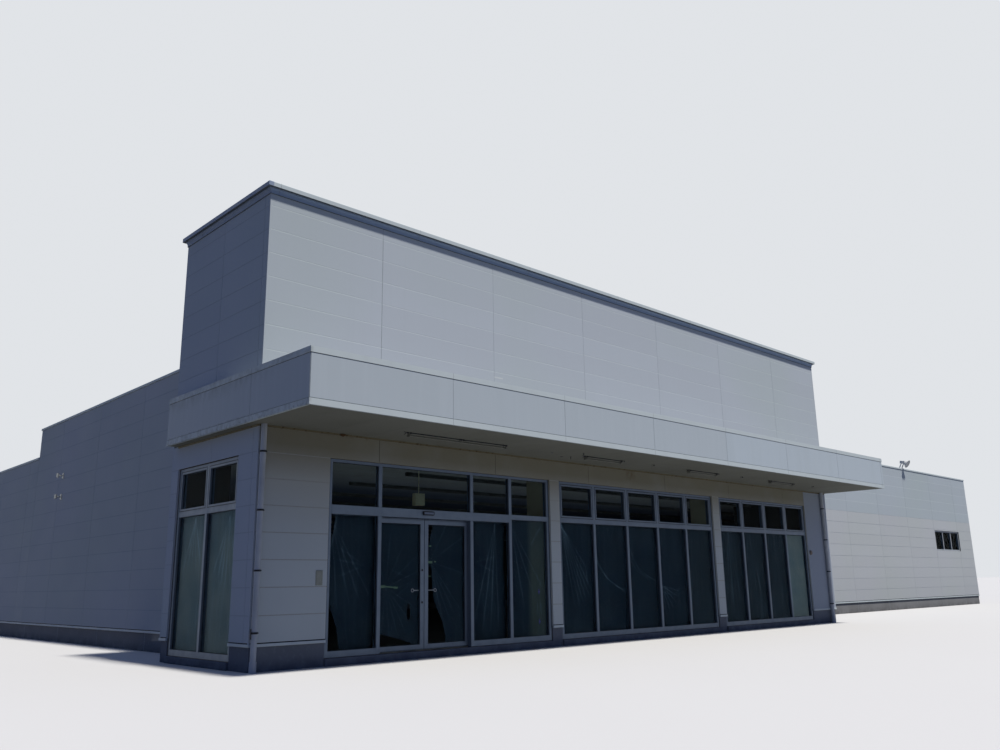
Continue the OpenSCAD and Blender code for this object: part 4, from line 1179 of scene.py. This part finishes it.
class MARKET_OT_copings(MarketStep, bpy.types.Operator):
    """Finish the cornice, the copings and the base flashing, and mark the laps of their sheets"""

    bl_idname = "market.copings"
    bl_label = "Copings"

    def execute(self, context):
        finish_nodes("cornice", "tower_cornice", real_mm(3))
        finish_nodes("coping", "hall_copings base_flashing", real_mm(3))
        at = tower_lines()
        low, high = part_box("tower_cornice")
        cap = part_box("tower_front_wall")[1].z
        cap_out = -low.y
        cornice_shade_lines(at, low.z, cap, cap_out)
        # Outline of the cornice from its foot outside to its inner edge, with the moulding below its cap
        moulding_out, rounding = 0.025, 0.006
        outline = [(0.0, low.z), (0.01, low.z), (0.01, low.z + rounding), (moulding_out, cap - 0.012),
                   (moulding_out, cap), (cap_out, cap), (cap_out, high.z - rounding),
                   (cap_out - rounding, high.z), (-0.075, high.z - 0.0075)]
        laps = Form()
        sheet_length = real_mm(3270)
        sides = (("front", 0, at.left, at.right), ("back", at.depth, at.left, at.right),
                 ("left", at.left, 0, at.depth), ("right", at.right, 0, at.depth))
        for facing, plane, start, end in sides:
            first = -0.1695 if facing in ("front", "back") else 1.39
            for mark in steps_between(start, end, first, sheet_length)[1:-1]:
                sheet_lap(laps, Wall(facing, plane), mark, outline)
        for box, node in zip(solids("hall_copings"), ("side_walls_high", "side_walls_low")):
            parapet_laps(laps, at, box, node)
        laps.piece("coping_laps", "seam", "coping_metal")
        return {"FINISHED"}


def cornice_shade_lines(at, foot, cap, cap_out):
    """Dark strips under the cap of the cornice and in the seam at the foot of its moulding: painted shade,
    which at the foot also stands for the dark seam.
    """
    plan = [(at.left, 0), (at.right, 0), (at.right, at.depth), (at.left, at.depth)]
    shade_lines = Form()
    sweep(shade_lines, plan, [(0.0255, cap - 0.0003), (0.0255, cap - 0.0015), (cap_out - 0.0005, cap - 0.0015),
                        (cap_out - 0.0005, cap - 0.0003)], closed=True)
    sweep(shade_lines, plan, [(0.0027, foot - 0.0002), (0.0027, foot - 0.005), (0.0098, foot - 0.0025),
                        (0.0098, foot - 0.0002)], closed=True)
    shade_lines.piece("cornice_shade_lines", "shade_lines", "coping_metal")


def parapet_laps(form, at, box, node):
    """Laps along the coping of one part of the hall, whose walls are that node."""
    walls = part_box(node)
    upper = node.endswith("high")
    out = walls[0].x - box.low.x
    rear = box.high.y - out
    front = at.wing if upper else walls[0].y
    top = box.high.z
    rim = [(out, box.low.z), (out, top - 0.005), (out - 0.005, top), (-0.085, top - 0.0075)]
    parapets = [Wall("left", walls[0].x, max(walls[0].y, at.depth), rear),
                Wall("right", walls[1].x, front, rear),
                Wall("back", rear, walls[0].x, walls[1].x)]
    if upper:
        parapets.append(Wall("front", front, at.right, walls[1].x))
    first, sheet_length, shortest = 0.12, real_mm(3600), 0.1
    for wall in parapets:
        for mark in steps_between(wall.start, wall.end, first, sheet_length)[1:-1]:
            if min(mark - wall.start, wall.end - mark) > shortest:
                sheet_lap(form, wall, mark, rim)


def sheet_lap(form, wall, along, outline):
    """Hair line where two sheets of a coping lap; outline runs from its foot outside to its inner edge."""
    half, skin = 0.0012, 0.0004
    edge = mitred(outline, False)
    profile = [point + away * skin for point, away in edge]
    profile += [point - away * skin for point, away in reversed(edge)]
    rings = [[wall_point(wall, along + shift, up, out) for out, up in profile] for shift in (-half, half)]
    if wall.facing in ("back", "left"):
        rings.reverse()
    form.loft(rings)


# Shopfront

def gaskets(node, name, body=FIXED):
    """Rubber glazing strip round every pane of a node, on both faces."""
    form = Form()
    for pane in solids(node):
        for wall in (face_of(pane), face_of(pane, inner=True)):
            framed(form, wall, wall[2:6], 0.0035, 0, 0.0018)
    form.piece(name, "rubber", "dark_sheet", body=body)


class MARKET_OT_shopfront(MarketStep, bpy.types.Operator):
    """Finish the window frames, the glass, their gaskets and the beads round the openings"""

    bl_idname = "market.shopfront"
    bl_label = "Shopfront"

    def execute(self, context):
        finish_nodes("aluminium", "door_bay_frame door_header window_frames left_door_leaf right_door_leaf",
                     real_mm(3))
        finish_nodes("glass", "window_glass left_door_glass right_door_glass")
        finish_nodes("dark", "door_sensor", real_mm(5))
        gaskets("window_glass", "window_gaskets")
        for side in ("left", "right"):
            gaskets(f"{side}_door_glass", f"{side}_door_gasket", f"{side}_door")
        frames = solids("window_frames")
        # The dark sealant bead round every frame is a real joint, and also paints the shade line along the
        # frame's edge
        beads = Form()
        for box in [Solid(*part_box("door_bay_frame")), *frames]:
            wall = face_of(box)
            framed(beads, wall, wall[2:6], 0.004, 0, 0.004)
        beads.piece("frame_beads", "aged_sealant", "frame_aluminium")
        wing_window_bars(frames[-1])
        sash_lines(*frames[:2])
        door_gear()
        return {"FINISHED"}


def wing_window_bars(window):
    """Outer face of the wing window's frame and of the bars between its panes, in a lighter aluminium that
    paints the sunlight on them.
    """
    wall = face_of(window)
    bars = Form()
    framed(bars, wall, wall[2:6], 0.03, -0.0003, 0.002)
    panes = [pane for pane in solids("window_glass") if pane.low.x > window.low.x]
    for first, second in zip(panes, panes[1:]):
        bars.block((first.high.x - 0.002, wall.plane - 0.002, wall.foot + 0.031),
                   (second.low.x + 0.002, wall.plane + 0.0003, wall.head - 0.031), bevel=0.0006)
    bars.piece("wing_window_bars", "sunlit_painted_aluminium", "frame_aluminium")


def sash_lines(side, middle):
    """Dark joint round every vent above the cross rail, in the frames of the side and the front windows."""
    inset = 0.0245
    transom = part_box("window_sheets")[1].z
    lines = Form()
    for pane in solids("window_glass"):
        wall = face_of(pane)
        in_wing = pane.low.y > 0.3 and pane.low.x > 0
        in_door_bay = wall.facing == "front" and pane.low.x <= middle.low.x
        if pane.low.z < transom or in_wing or in_door_bay:
            continue
        wall = wall._replace(plane=side.low.x if wall.facing == "left" else middle.low.y)
        area = (wall.start - inset, wall.end + inset, wall.foot - inset, wall.head + inset)
        framed(lines, wall, area, 0.0065, -0.0003, 0.0008)
    lines.piece("sash_lines", "rubber", "frame_aluminium")


def door_gear():
    """What is fixed to the two leaves of the sliding door, to the floor below them and to the sensor."""
    for side, sign in (("left", -1), ("right", 1)):
        door_fittings(side, sign)
        door_marks(side, sign)
    fixed = Form()
    left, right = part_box("left_door_leaf"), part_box("right_door_leaf")
    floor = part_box("floor_slab")[1].z
    fixed.block((left[0].x + 0.03, 0.024, floor - 0.001), (right[1].x - 0.03, 0.066, floor + 0.0018),
                bevel=0.0005)
    for x in (-0.3, 0.0, 0.3):
        fixed.block((x - 0.2, 0.084, floor - 0.001), (x + 0.2, 0.0865, floor + 0.0015))
    low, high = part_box("door_sensor")
    fixed.block((low.x + 0.01, low.y - 0.0012, low.z + 0.01),
                (high.x - 0.01, low.y + 0.001, high.z - 0.01), 1, bevel=0.0005)
    fixed.piece("door_threshold", "steel sensor_window", "frame_aluminium")


def door_fittings(side, sign):
    """Lock buttons, rails' edges and weather strip of one leaf; sign is the way in which it opens."""
    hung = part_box(f"{side}_door_leaf")
    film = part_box(f"{side}_door_sheet")
    # The leaf's box takes in its hangers, so the face of its frame comes from the film behind it
    low = Vector((hung[0].x, film[0].y - 0.03, hung[0].z))
    high = Vector((hung[1].x, film[0].y, film[1].z + 0.01))
    fittings = Form()
    if side == "left":
        stile = sign * 0.026
        for z in (0.815, 0.51):
            fittings.tube([(stile, low.y + 0.001, z), (stile, low.y - 0.0035, z)], 0.0105, 20, 2)
            fittings.tube([(stile, low.y - 0.003, z), (stile, low.y - 0.0045, z)], 0.005, 16, 1)
    for z in (low.z + 0.004, high.z - 0.01):
        fittings.block((low.x + 0.002, low.y - 0.0015, z), (high.x - 0.002, low.y + 0.001, z + 0.003), 1)
    edge = high.x if side == "left" else low.x
    fittings.block((edge - 0.0015, low.y + 0.008, low.z + 0.004),
                   (edge + 0.0015, high.y - 0.008, high.z - 0.004), 2)
    fittings.piece(f"{side}_door_fittings", "aluminium dark rubber", "frame_aluminium", body=f"{side}_door")


def door_marks(side, sign):
    """Ring and bar of vinyl on the glass of one leaf."""
    ring_x, bar_x = (-0.135, -0.058) if side == "left" else (0.147, 0.04)
    z = 0.6235
    outer, inner = 0.017, 0.0122
    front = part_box(f"{side}_door_glass")[0].y - 0.0004
    back = front + 0.0004
    marks = Form()
    outline = ((outer, back), (outer, front), (inner, front), (inner, back), (outer, back))
    marks.loft([[(ring_x + along, y, z + up) for along, up in circle(radius, 28)] for radius, y in outline],
               caps=False)
    start = ring_x - sign * outer
    marks.block((min(start, bar_x), front, z - 0.004), (max(start, bar_x), back, z + 0.004))
    marks.piece(f"{side}_door_marks", "white", "frame_aluminium", body=f"{side}_door")


# Films behind the glass

Crease = namedtuple("Crease", "a0 u0 a1 u1 height width")


def fan(a, u, turns, length, height, width=0.006):
    """Creases that run out from one point, at the given angles in degrees."""
    return [Crease(a, u, a + length * math.cos(math.radians(t)), u + length * math.sin(math.radians(t)),
                   height, width) for t in turns]


def bent(points, height, width=0.006):
    """Creases one after the other along a bent line."""
    return [Crease(*start, *end, height, width) for start, end in zip(points, points[1:])]


def crease_height(creases, a, u):
    """How far the creases push the film in at one point."""
    total = 0.0
    for crease in creases:
        run_a, run_u = crease.a1 - crease.a0, crease.u1 - crease.u0
        length2 = run_a * run_a + run_u * run_u
        share = ((a - crease.a0) * run_a + (u - crease.u0) * run_u) / length2
        if not -0.05 < share < 1.05:
            continue
        share = min(1.0, max(0.0, share))
        away = math.hypot(a - crease.a0 - share * run_a, u - crease.u0 - share * run_u)
        spread = crease.width * (0.5 + share)
        if away < 5 * spread:
            total += crease.height * math.exp(-away / spread) * math.sin(math.pi * (0.2 + 0.65 * share))
    return total


def inset_at(insets, share):
    """Inset from the side at a share of the height, from a list of (share, inset)."""
    for (s0, i0), (s1, i1) in zip(insets, insets[1:]):
        if share <= s1:
            return i0 + (i1 - i0) * (share - s0) / (s1 - s0)
    return insets[-1][1]


STRAIGHT = ((0, 0), (1, 0))


def hang_film(name, box, settings, seed, body=FIXED, creases=(), left=STRAIGHT, right=STRAIGHT, foot=STRAIGHT,
              holes=(), reach=0.008, fold=1.0, finish="film", replaces=()):
    """One creased film in the place of its thin solid, hung by its upper edge.

    left, right and foot give how far the film falls short of its box along that edge.
    Returns the piece and the size it was cut to.
    """
    wall = face_of(box)
    sideways = wall.facing == "left"
    height = wall.head - wall.foot
    columns = max(8, round((wall.end - wall.start) / settings.cell))
    rows = max(8, round(height / settings.cell))
    form = Form()
    sharp = []
    for j in range(rows + 1):
        for i in range(columns + 1):
            level, share = j / rows, i / columns
            start = wall.start + inset_at(left, level)
            end = wall.end - inset_at(right, level)
            a = start + (end - start) * share
            base = wall.foot + inset_at(foot, share)
            u = base + (wall.head - base) * level
            waves = 1 + noise.noise(Vector((a * 9, u * 1.1, seed)))
            ridge = (1 - abs(noise.noise(Vector((a * 12 + 3, u * 0.8, seed + 9))))) ** 6
            soft = fold * settings.fold * (0.4 * waves + 0.6 * ridge)
            crease = crease_height(creases, a, u)
            depth = min(reach, max(0.0, soft + crease))
            form.corners.append((wall.plane + depth, a, u) if sideways else (a, wall.plane + depth, u))
            sharp.append(min(1.0, abs(crease) / settings.white_crease) + 0.25 * fold * ridge)
    for j in range(rows):
        for i in range(columns):
            first = j * (columns + 1) + i
            corner = form.corners[first]
            a = corner[1] if sideways else corner[0]
            if any(((a - h[0]) / h[2]) ** 2 + ((corner[2] - h[1]) / h[3]) ** 2 < 1 for h in holes):
                continue
            quad = (first, first + 1, first + columns + 2, first + columns + 1)
            tone = sum(sharp[k] for k in quad) / 4
            form.face(quad[::-1] if sideways else quad, tone=min(1.0, tone * tone))
    piece = form.piece(name, finish, "dark_sheet", body, replaces, smooth=180)
    area = sum(polygon.area for polygon in piece.data.polygons)
    return piece, (area / height, height)


class MARKET_OT_films(MarketStep, bpy.types.Operator):
    """Hang creased plastic films behind the panes and the door leaves, and tape and clip them"""

    bl_idname = "market.films"
    bl_label = "Films"

    def execute(self, context):
        settings = context.scene.market_films
        boxes = solids("window_sheets")
        side, first, second, last, middle, right = boxes
        split = right.low.x + settings.end_film_from
        films = [
            hang_film("side_window_film", side, settings, 1, fold=1.3, finish="side_film",
                      replaces=["window_sheets"],
                      creases=fan(0.6, 1.3, (-62, -72, -80, -88, -96, -108), 0.6, 0.0045)
                      + fan(1.3, 1.32, (-66, -76, -86, -98, -110), 0.5, 0.0045)),
            hang_film("first_pane_film", first, settings, 2, reach=0.009,
                      left=((0, 0.19), (0.12, 0.165), (0.2, 0.145), (0.36, 0.063), (0.45, 0.04), (0.75, 0.05),
                            (0.8, 0.065), (0.9, 0.095), (1, 0.115)),
                      right=((0, -0.03), (1, -0.03)),
                      creases=fan(-1.05, 1.28, (-58, -66, -74, -84), 0.8, 0.004)
                      + fan(-1.1, 1.3, (-96, -104), 0.5, 0.005)
                      + fan(-0.68, 0.86, (150, 170, 200), 0.3, 0.003)
                      # The edge curls over beside the jamb
                      + bent(((-0.988, 1.3), (-1.015, 1.18), (-1.05, 1.0)), 0.005, 0.011)),
            hang_film("second_pane_film", second, settings, 3, reach=0.009,
                      right=((0, -0.03), (0.4, -0.028), (0.55, -0.004), (0.7, 0.004), (0.85, -0.012),
                             (1, -0.02)),
                      creases=fan(1.0, 1.3, (-88, -94, -100, -107), 1.1, 0.005)
                      + fan(0.7, 0.9, (-20, 10), 0.3, 0.002)),
            hang_film("last_bay_film", last, settings, 4, fold=0.7,
                      creases=fan(1.19, 1.3, (-55, -66, -78), 0.9, 0.005)
                      + bent(((1.67, 1.3), (1.58, 1.2), (1.5, 1.08)), 0.005, 0.012)
                      + fan(1.6, 0.58, (-80, -100, 95, 70), 0.25, 0.004)
                      + fan(1.59, 0.264, (-85, -100, 95, 80), 0.2, 0.004)),
            hang_film("middle_film", middle, settings, 5, reach=0.012,
                      creases=fan(1.99, 1.35, (-57, -61, -65, -69, -73, -78), 0.95, 0.005)
                      + bent(((2.0, 1.3), (2.14, 1.16), (2.4, 0.85), (2.42, 0.68)), 0.005)
                      + bent(((2.58, 1.2), (2.62, 0.9), (2.78, 0.72), (3.1, 0.56)), 0.006)
                      + bent(((2.58, 1.0), (2.66, 0.82), (2.9, 0.64), (3.12, 0.58)), 0.004)
                      + bent(((3.24, 1.1), (3.3, 0.95), (3.42, 0.8), (3.74, 0.68)), 0.006)
                      + bent(((3.22, 0.98), (3.36, 0.8), (3.6, 0.7)), 0.005)
                      + fan(3.86, 0.62, (-10, -22, -35, -50, -65, -80), 0.35, 0.005)
                      + fan(4.1, 0.5, (10, 30, 150, 170), 0.25, 0.003)
                      + fan(4.6, 1.35, (-86, -91, -96), 1.0, 0.0025)),
            hang_film("right_film", Solid(right.low, Vector((split, right.high.y, right.high.z))), settings,
                      6, fold=1.6, reach=0.012, creases=fan(5.5, 1.35, (-78, -84, -90, -98), 1.0, 0.0035)
                      + fan(6.05, 1.35, (-76, -84, -88, -94), 1.1, 0.0035)),
            hang_film("end_film", Solid(Vector((split, right.low.y, right.low.z)), right.high), settings, 7,
                      fold=0.5, finish="pale_film", creases=fan(7.2, 1.3, (-75, -88), 0.7, 0.002)),
        ]

        knot = (-0.44, 0.662)
        left_tape = taped_strips("left_film_tape", "left_door", [
            (-0.5, 0.662, -0.45, 0.664, 0.024), (-0.455, 0.664, -0.33, 0.654, 0.012),
            (-0.345, 0.654, -0.3, 0.651, 0.018)])
        right_tape = taped_strips("right_film_tape", "right_door", [
            (0.075, 1.05, 0.11, 1.048, 0.014), (0.07, 0.894, 0.125, 0.891, 0.022),
            (0.15, 0.899, 0.17, 0.896, 0.013), (0.075, 0.758, 0.104, 0.756, 0.012)])
        left_film = hang_film(
            "left_door_film", Solid(*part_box("left_door_sheet")), settings, 8, "left_door", reach=0.005,
            fold=0.6,
            foot=((0, 0.16), (0.15, 0.15), (0.5, 0.1), (0.75, 0.06), (0.85, 0.02), (1, 0)),
            holes=((-0.17, 0.424, 0.021, 0.08),), replaces=["left_door_sheet"],
            creases=fan(*knot, (-30, -48, -60, -72, -84, -95, -112, 20, 38, 62, 84, 110, 150), 0.5, 0.0035,
                        0.005)
            + fan(-0.1, 0.72, (200, 215, 160), 0.3, 0.0025))
        right_film = hang_film(
            "right_door_film", Solid(*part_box("right_door_sheet")), settings, 9, "right_door", reach=0.005,
            fold=0.6,
            left=((0, 0.28), (0.08, 0.28), (0.2, 0.24), (0.28, 0.185), (0.35, 0.14), (0.45, 0.115),
                  (0.6, 0.105), (0.66, 0.06), (0.72, 0.075), (0.82, 0.075), (0.92, 0.1), (1, 0.13)),
            replaces=["right_door_sheet"],
            creases=fan(0.1, 0.9, (-50, -58, -66, -74, -15, 30, 60), 0.6, 0.0035, 0.005))

        clips = Form()
        x, y = 1.598, last.low.y
        for z in (0.58, 0.264):
            clips.tube([(x, y - 0.0015, z - 0.022), (x, y - 0.0015, z + 0.03)], 0.003, 8)
            clips.block((1.589, y - 0.004, z - 0.006), (1.609, y + 0.001, z + 0.012), bevel=0.0012)
        clips.piece("film_clips", "violet", "dark_sheet")
        return {"FINISHED"}


def taped_strips(name, body, strips):
    """Short strips of tape on the film of a leaf, each from one point to another with its width."""
    form = Form()
    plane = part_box(f"{body}_sheet")[0].y - 0.0006
    for a0, u0, a1, u1, width in strips:
        along = Vector((a1 - a0, u1 - u0)).normalized()
        across = Vector((-along.y, along.x)) * width / 2
        outline = [(a0 - across.x, u0 - across.y), (a1 - across.x, u1 - across.y),
                   (a1 + across.x, u1 + across.y), (a0 + across.x, u0 + across.y)]
        form.loft([[(a, y, u) for a, u in outline] for y in (plane + 0.0008, plane)])
    return form.piece(name, "tape", "dark_sheet", body)


# Interior and ground

class MARKET_OT_interior(MarketStep, bpy.types.Operator):
    """Finish what shows through the glass"""

    bl_idname = "market.interior"
    bl_label = "Interior"

    def execute(self, context):
        finish_nodes("ceiling", "ceiling")
        finish_nodes("indoor_lamp", "ceiling_lights")
        finish_nodes("casing", "column_casings")
        finish_nodes("box", "hanging_box")
        finish_nodes("floor", "floor_slab")
        tubes = Form()
        lamp_length, end_inset, drop, radius = real_mm(1240), 0.02, 0.008, 0.0065
        for low, high in solids("ceiling_lights"):
            y = (low.y + high.y) / 2
            for shift in (-0.011, 0.011):
                tubes.tube([(low.x + end_inset, y + shift, low.z - drop),
                            (high.x - end_inset, y + shift, low.z - drop)], radius, 8)
            x = low.x
            while x < high.x - end_inset:
                tubes.block((x, low.y + 0.004, low.z - 0.014), (x + 0.018, high.y - 0.004, low.z))
                x += lamp_length
        tubes.piece("ceiling_tubes", "indoor_lamp", "ceiling_board")
        return {"FINISHED"}


class MARKET_OT_ground_works(MarketStep, bpy.types.Operator):
    """Finish the concrete plinths and kerbs and cut their joints"""

    bl_idname = "market.ground_works"
    bl_label = "Ground works"

    def execute(self, context):
        finish_nodes("concrete", "main_plinth_sides main_plinth_ends", real_mm(8))
        finish_nodes("sill_concrete", "entrance_sill entrance_plinth", real_mm(8))
        joints = Form()
        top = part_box("base_flashing")[0].z
        low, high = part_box("main_plinth_sides")
        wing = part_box("main_plinth_ends")
        faces = (Wall("left", low.x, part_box("tower_back_wall")[1].y, high.y, 0, top),
                 Wall("right", high.x, low.y, high.y, 0, top),
                 Wall("back", wing[1].y, low.x, high.x, 0, top),
                 Wall("front", wing[0].y, wing[0].x + 9.75, wing[1].x, 0, top))
        for wall in faces:
            for mark in steps_between(wall.start, wall.end, 0.4, real_mm(3000))[1:-1]:
                seam(joints, wall, mark, real_mm(5), 0.004, top, 0.0006)
        joints.piece("plinth_joints", "sealant", "concrete")
        return {"FINISHED"}


# Roof

class MARKET_OT_roof(MarketStep, bpy.types.Operator):
    """Finish the roof sheets, bolt their ribs down and close them along the walls"""

    bl_idname = "market.roof"
    bl_label = "Roof"

    def execute(self, context):
        finish_nodes("roof", "hall_roof tower_roof")
        bolts = Form()
        flashing = Form()
        pitch = 0.25
        for x0, x1, y0, y1, crown in roof_fields():
            count = math.floor((x1 - x0) / pitch)
            first = x0 + (x1 - x0 - (count - 1) * pitch) / 2
            rows = [y0 + 0.12 + k * (y1 - y0 - 0.24) / 5 for k in range(6)]
            for i in range(count):
                for y in rows:
                    bolt_cap(bolts, first + i * pitch, y, crown)
            for y, way in ((y0, 1), (y1, -1)):
                flashing.polygon(sloping_flashing(x0, x1, y, way, crown))
        bolts.piece("roof_bolts", "steel", "roof_metal", smooth=40)
        flashing.piece("roof_flashings", "coping", "roof_metal")
        return {"FINISHED"}


def roof_fields():
    """The three fields of ribbed sheet as x0, x1, y0, y1 and the level of their ribs."""
    high, low = sorted(solids("hall_roof"), key=lambda box: -box.low.z)
    at = tower_lines()
    return [
        (high.low.x, at.right, at.depth, high.high.y, high.high.z),
        (at.right, high.high.x, high.low.y, high.high.y, high.high.z),
        (low.low.x, low.high.x, low.low.y, low.high.y, low.high.z),
    ]


def bolt_cap(form, x, y, level):
    """Domed cap over the bolt on a rib."""
    outline = ((0.013, -0.0005), (0.013, 0.003), (0.009, 0.0095), (0.004, 0.012))
    form.loft([[(x + along, y + across, level + height) for along, across in circle(radius, 8)]
               for radius, height in outline])


def sloping_flashing(x0, x1, y, way, crown):
    """Corners of the sloping strip that covers the ends of the ribs where they meet a wall."""
    far, near = y + way * 0.055, y + way * 0.001
    low, high = crown + 0.001, crown + 0.045
    points = [(x0, far, low), (x1, far, low), (x1, near, high), (x0, near, high)]
    return points if way > 0 else points[::-1]


# Fittings

class MARKET_OT_fittings(MarketStep, bpy.types.Operator):
    """Finish pipes, lamps and brackets, and add what is fixed to the piers"""

    bl_idname = "market.fittings"
    bl_label = "Fittings"

    def execute(self, context):
        finish_nodes("pipe", "downpipes")
        finish_nodes("lamp", "strip_lights")
        finish_nodes("casting", "floodlight")
        finish_nodes("steel", "service_brackets")
        bands = Form()
        for low, high in solids("downpipes"):
            x = (low.x + high.x) / 2
            y = low.y + 0.03
            lowest, pitch = (0.304 if x < 0 else 0.284), 0.498
            for i in range(4):
                z = lowest + i * pitch
                bands.tube([(x, y, z - 0.001), (x, y, z + 0.015)], 0.0298, 28, 1)
                bands.block((x + 0.026, y - 0.006, z + 0.002), (x + 0.036, y + 0.006, z + 0.012), 1)
            for z in (0.78, 1.74):
                bands.tube([(x, y, z), (x, y, z + 0.04)], 0.0275, 28, 2)
            if x < 0:
                # A clip without its cable stands beside the lowest band
                bands.block((x - 0.034, y - 0.004, 0.262), (x - 0.0285, y + 0.006, 0.345), 1)
        bands.piece("pipe_bands", "steel dark pipe", "pipe_plastic", smooth=40)

        pier = Form()
        wall = Wall("front", 0)
        pier.block((-1.272, -0.008, 0.684), (-1.204, -0.001, 0.812), 0, bevel=0.002)
        framed(pier, wall, (-1.266, -1.21, 0.69, 0.806), 0.002, 0.008, 0.0088)
        for x, z in ((-1.238, 0.696), (-1.238, 0.8)):
            pier.tube([(x, -0.0075, z), (x, -0.0092, z)], 0.0022, 12)
        pier.piece("pier_plate", "plate", "box_plastic")

        vent = Form()
        x, z = 7.7, 1.08
        profile = ((0.036, 0.001), (0.036, 0.007), (0.03, 0.013), (0.03, 0.02), (0.012, 0.023))
        vent.loft([[(x + along, -out - 0.002, z + up) for along, up in circle(radius, 28)]
                   for radius, out in profile])
        vent.piece("pier_vent", "vent_cap", "pipe_plastic", smooth=35)
        return {"FINISHED"}


# Stage

def showing_rays(tree):
    """Share of 1 for the rays that show a surface: seen straight, in a mirror or through glass."""
    path = add_node(tree, "ShaderNodeLightPath").outputs
    mirrored = add_node(tree, "ShaderNodeMath", {0: path["Is Camera Ray"], 1: path["Is Glossy Ray"]},
                        operation="MAXIMUM").outputs[0]
    return add_node(tree, "ShaderNodeMath", {0: mirrored, 1: path["Is Transmission Ray"]},
                    operation="MAXIMUM").outputs[0]


class MARKET_OT_stage(MarketStep, bpy.types.Operator):
    """Set up the floor, the light and the camera"""

    bl_idname = "market.stage"
    bl_label = "Stage"

    def execute(self, context):
        settings = context.scene.market_stage
        scene = context.scene
        reach = 1500.0
        toward_sun = Vector((0.04, -0.375, 0.926))
        # Seamless studio floor: matt and pale, so that it keeps the shadow. It throws back little light,
        # apart from the part in front of the shopfront, which lights the underside of the canopy
        ground, tree, shader = new_material("pale_floor", 0.9)
        front = overlap(tree, between(tree, "X", -2.2, -1.7), between(tree, "Y", -6.5, -5.0),
                        between(tree, "Y", 0.3, 0.0))
        thrown = add_node(tree, "ShaderNodeMix", {
            0: front, 6: hex_colour("#515255"), 7: hex_colour("#8E9093")}, data_type="RGBA")
        face = add_node(tree, "ShaderNodeMix", {
            0: showing_rays(tree), 6: thrown.outputs[2], 7: hex_colour("#B9BBBD")}, data_type="RGBA")
        paint(tree, shader, face.outputs[2], (patches(tree, 3.0, 0.4, 0.7, 0.1), hex_colour("#B2B4B6")))
        mesh = bpy.data.meshes.new("stage_floor")
        mesh.from_pydata([(-reach, -reach, 0), (reach, -reach, 0), (reach, reach, 0), (-reach, reach, 0)], [],
                         [(0, 1, 2, 3)])
        mesh.materials.append(ground)
        plane = placed("stage_floor", mesh)
        plane.location.z = -0.001

        world = bpy.data.worlds.new("soft_sky")
        scene.world = world
        world.use_nodes = True
        tree = world.node_tree
        light = add_node(tree, "ShaderNodeBackground", {
            "Color": hex_colour("#79A6FF"), "Strength": settings.sky})
        backdrop = add_node(tree, "ShaderNodeBackground", {"Color": hex_colour("#E6E9ED"), "Strength": 0.95})
        mix = add_node(tree, "ShaderNodeMixShader", {
            0: showing_rays(tree), 1: light.outputs[0], 2: backdrop.outputs[0]})
        tree.links.new(mix.outputs[0], tree.nodes["World Output"].inputs["Surface"])

        sun = bpy.data.lights.new("key_light", "SUN")
        sun.energy = settings.sun
        sun.angle = math.radians(4)
        sun.color = hex_colour("#FFF8EE")[:3]
        key = placed("key_light", sun)
        key.rotation_mode = "QUATERNION"
        key.rotation_quaternion = toward_sun.to_track_quat("Z", "Y")

        # Soft lamp just above the floor inside, so that the ceiling behind the glass doesn't go black
        glow = bpy.data.lights.new("room_light", "AREA")
        glow.shape = "RECTANGLE"
        glow.size = 9.0
        glow.size_y = 2.4
        glow.energy = settings.room
        inside = placed("room_light", glow)
        inside.location = (3.0, 2.0, 0.12)
        inside.rotation_euler = (math.pi, 0, 0)
        inside.visible_camera = False
        inside.visible_glossy = False
        inside.visible_transmission = False

        data = bpy.data.cameras.new("camera")
        data.sensor_width = 36
        data.lens = settings.lens
        data.clip_end = 5000
        camera = placed("camera", data)
        turn = (Matrix.Rotation(settings.heading, 4, "Z")
                @ Matrix.Rotation(math.pi / 2 + settings.tilt, 4, "X")
                @ Matrix.Rotation(settings.roll, 4, "Z"))
        camera.matrix_world = Matrix.Translation(settings.place) @ turn
        scene.camera = camera
        scene.view_settings.view_transform = "Standard"
        return {"FINISHED"}


STEPS = (
    MARKET_OT_stage, MARKET_OT_siding, MARKET_OT_canopy, MARKET_OT_copings, MARKET_OT_shopfront,
    MARKET_OT_films, MARKET_OT_interior, MARKET_OT_ground_works, MARKET_OT_roof, MARKET_OT_fittings,
)


class MARKET_PT_building(bpy.types.Panel):
    """Lists the steps that build the scene."""

    bl_idname = "MARKET_PT_building"
    bl_label = "Supermarket building"
    bl_space_type = "VIEW_3D"
    bl_region_type = "UI"
    bl_category = "Building"

    def draw(self, context):
        column = self.layout.column()
        for step in STEPS:
            column.operator(step.bl_idname)


SETTINGS = {
    "market_colours": MarketColours, "market_siding": SidingSettings, "market_canopy": CanopySettings,
    "market_films": FilmSettings, "market_stage": StageSettings,
}


def register():
    for cls in (*SETTINGS.values(), *STEPS, MARKET_PT_building):
        bpy.utils.register_class(cls)
    for name, group in SETTINGS.items():
        setattr(bpy.types.Scene, name, bpy.props.PointerProperty(type=group))


def unregister():
    for name in SETTINGS:
        delattr(bpy.types.Scene, name)
    for cls in reversed((*SETTINGS.values(), *STEPS, MARKET_PT_building)):
        bpy.utils.unregister_class(cls)


def main():
    """Builds the whole scene."""
    register()
    for step in STEPS:
        getattr(bpy.ops.market, step.bl_idname.split(".")[1])()
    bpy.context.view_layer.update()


if __name__ == "__main__":
    main()
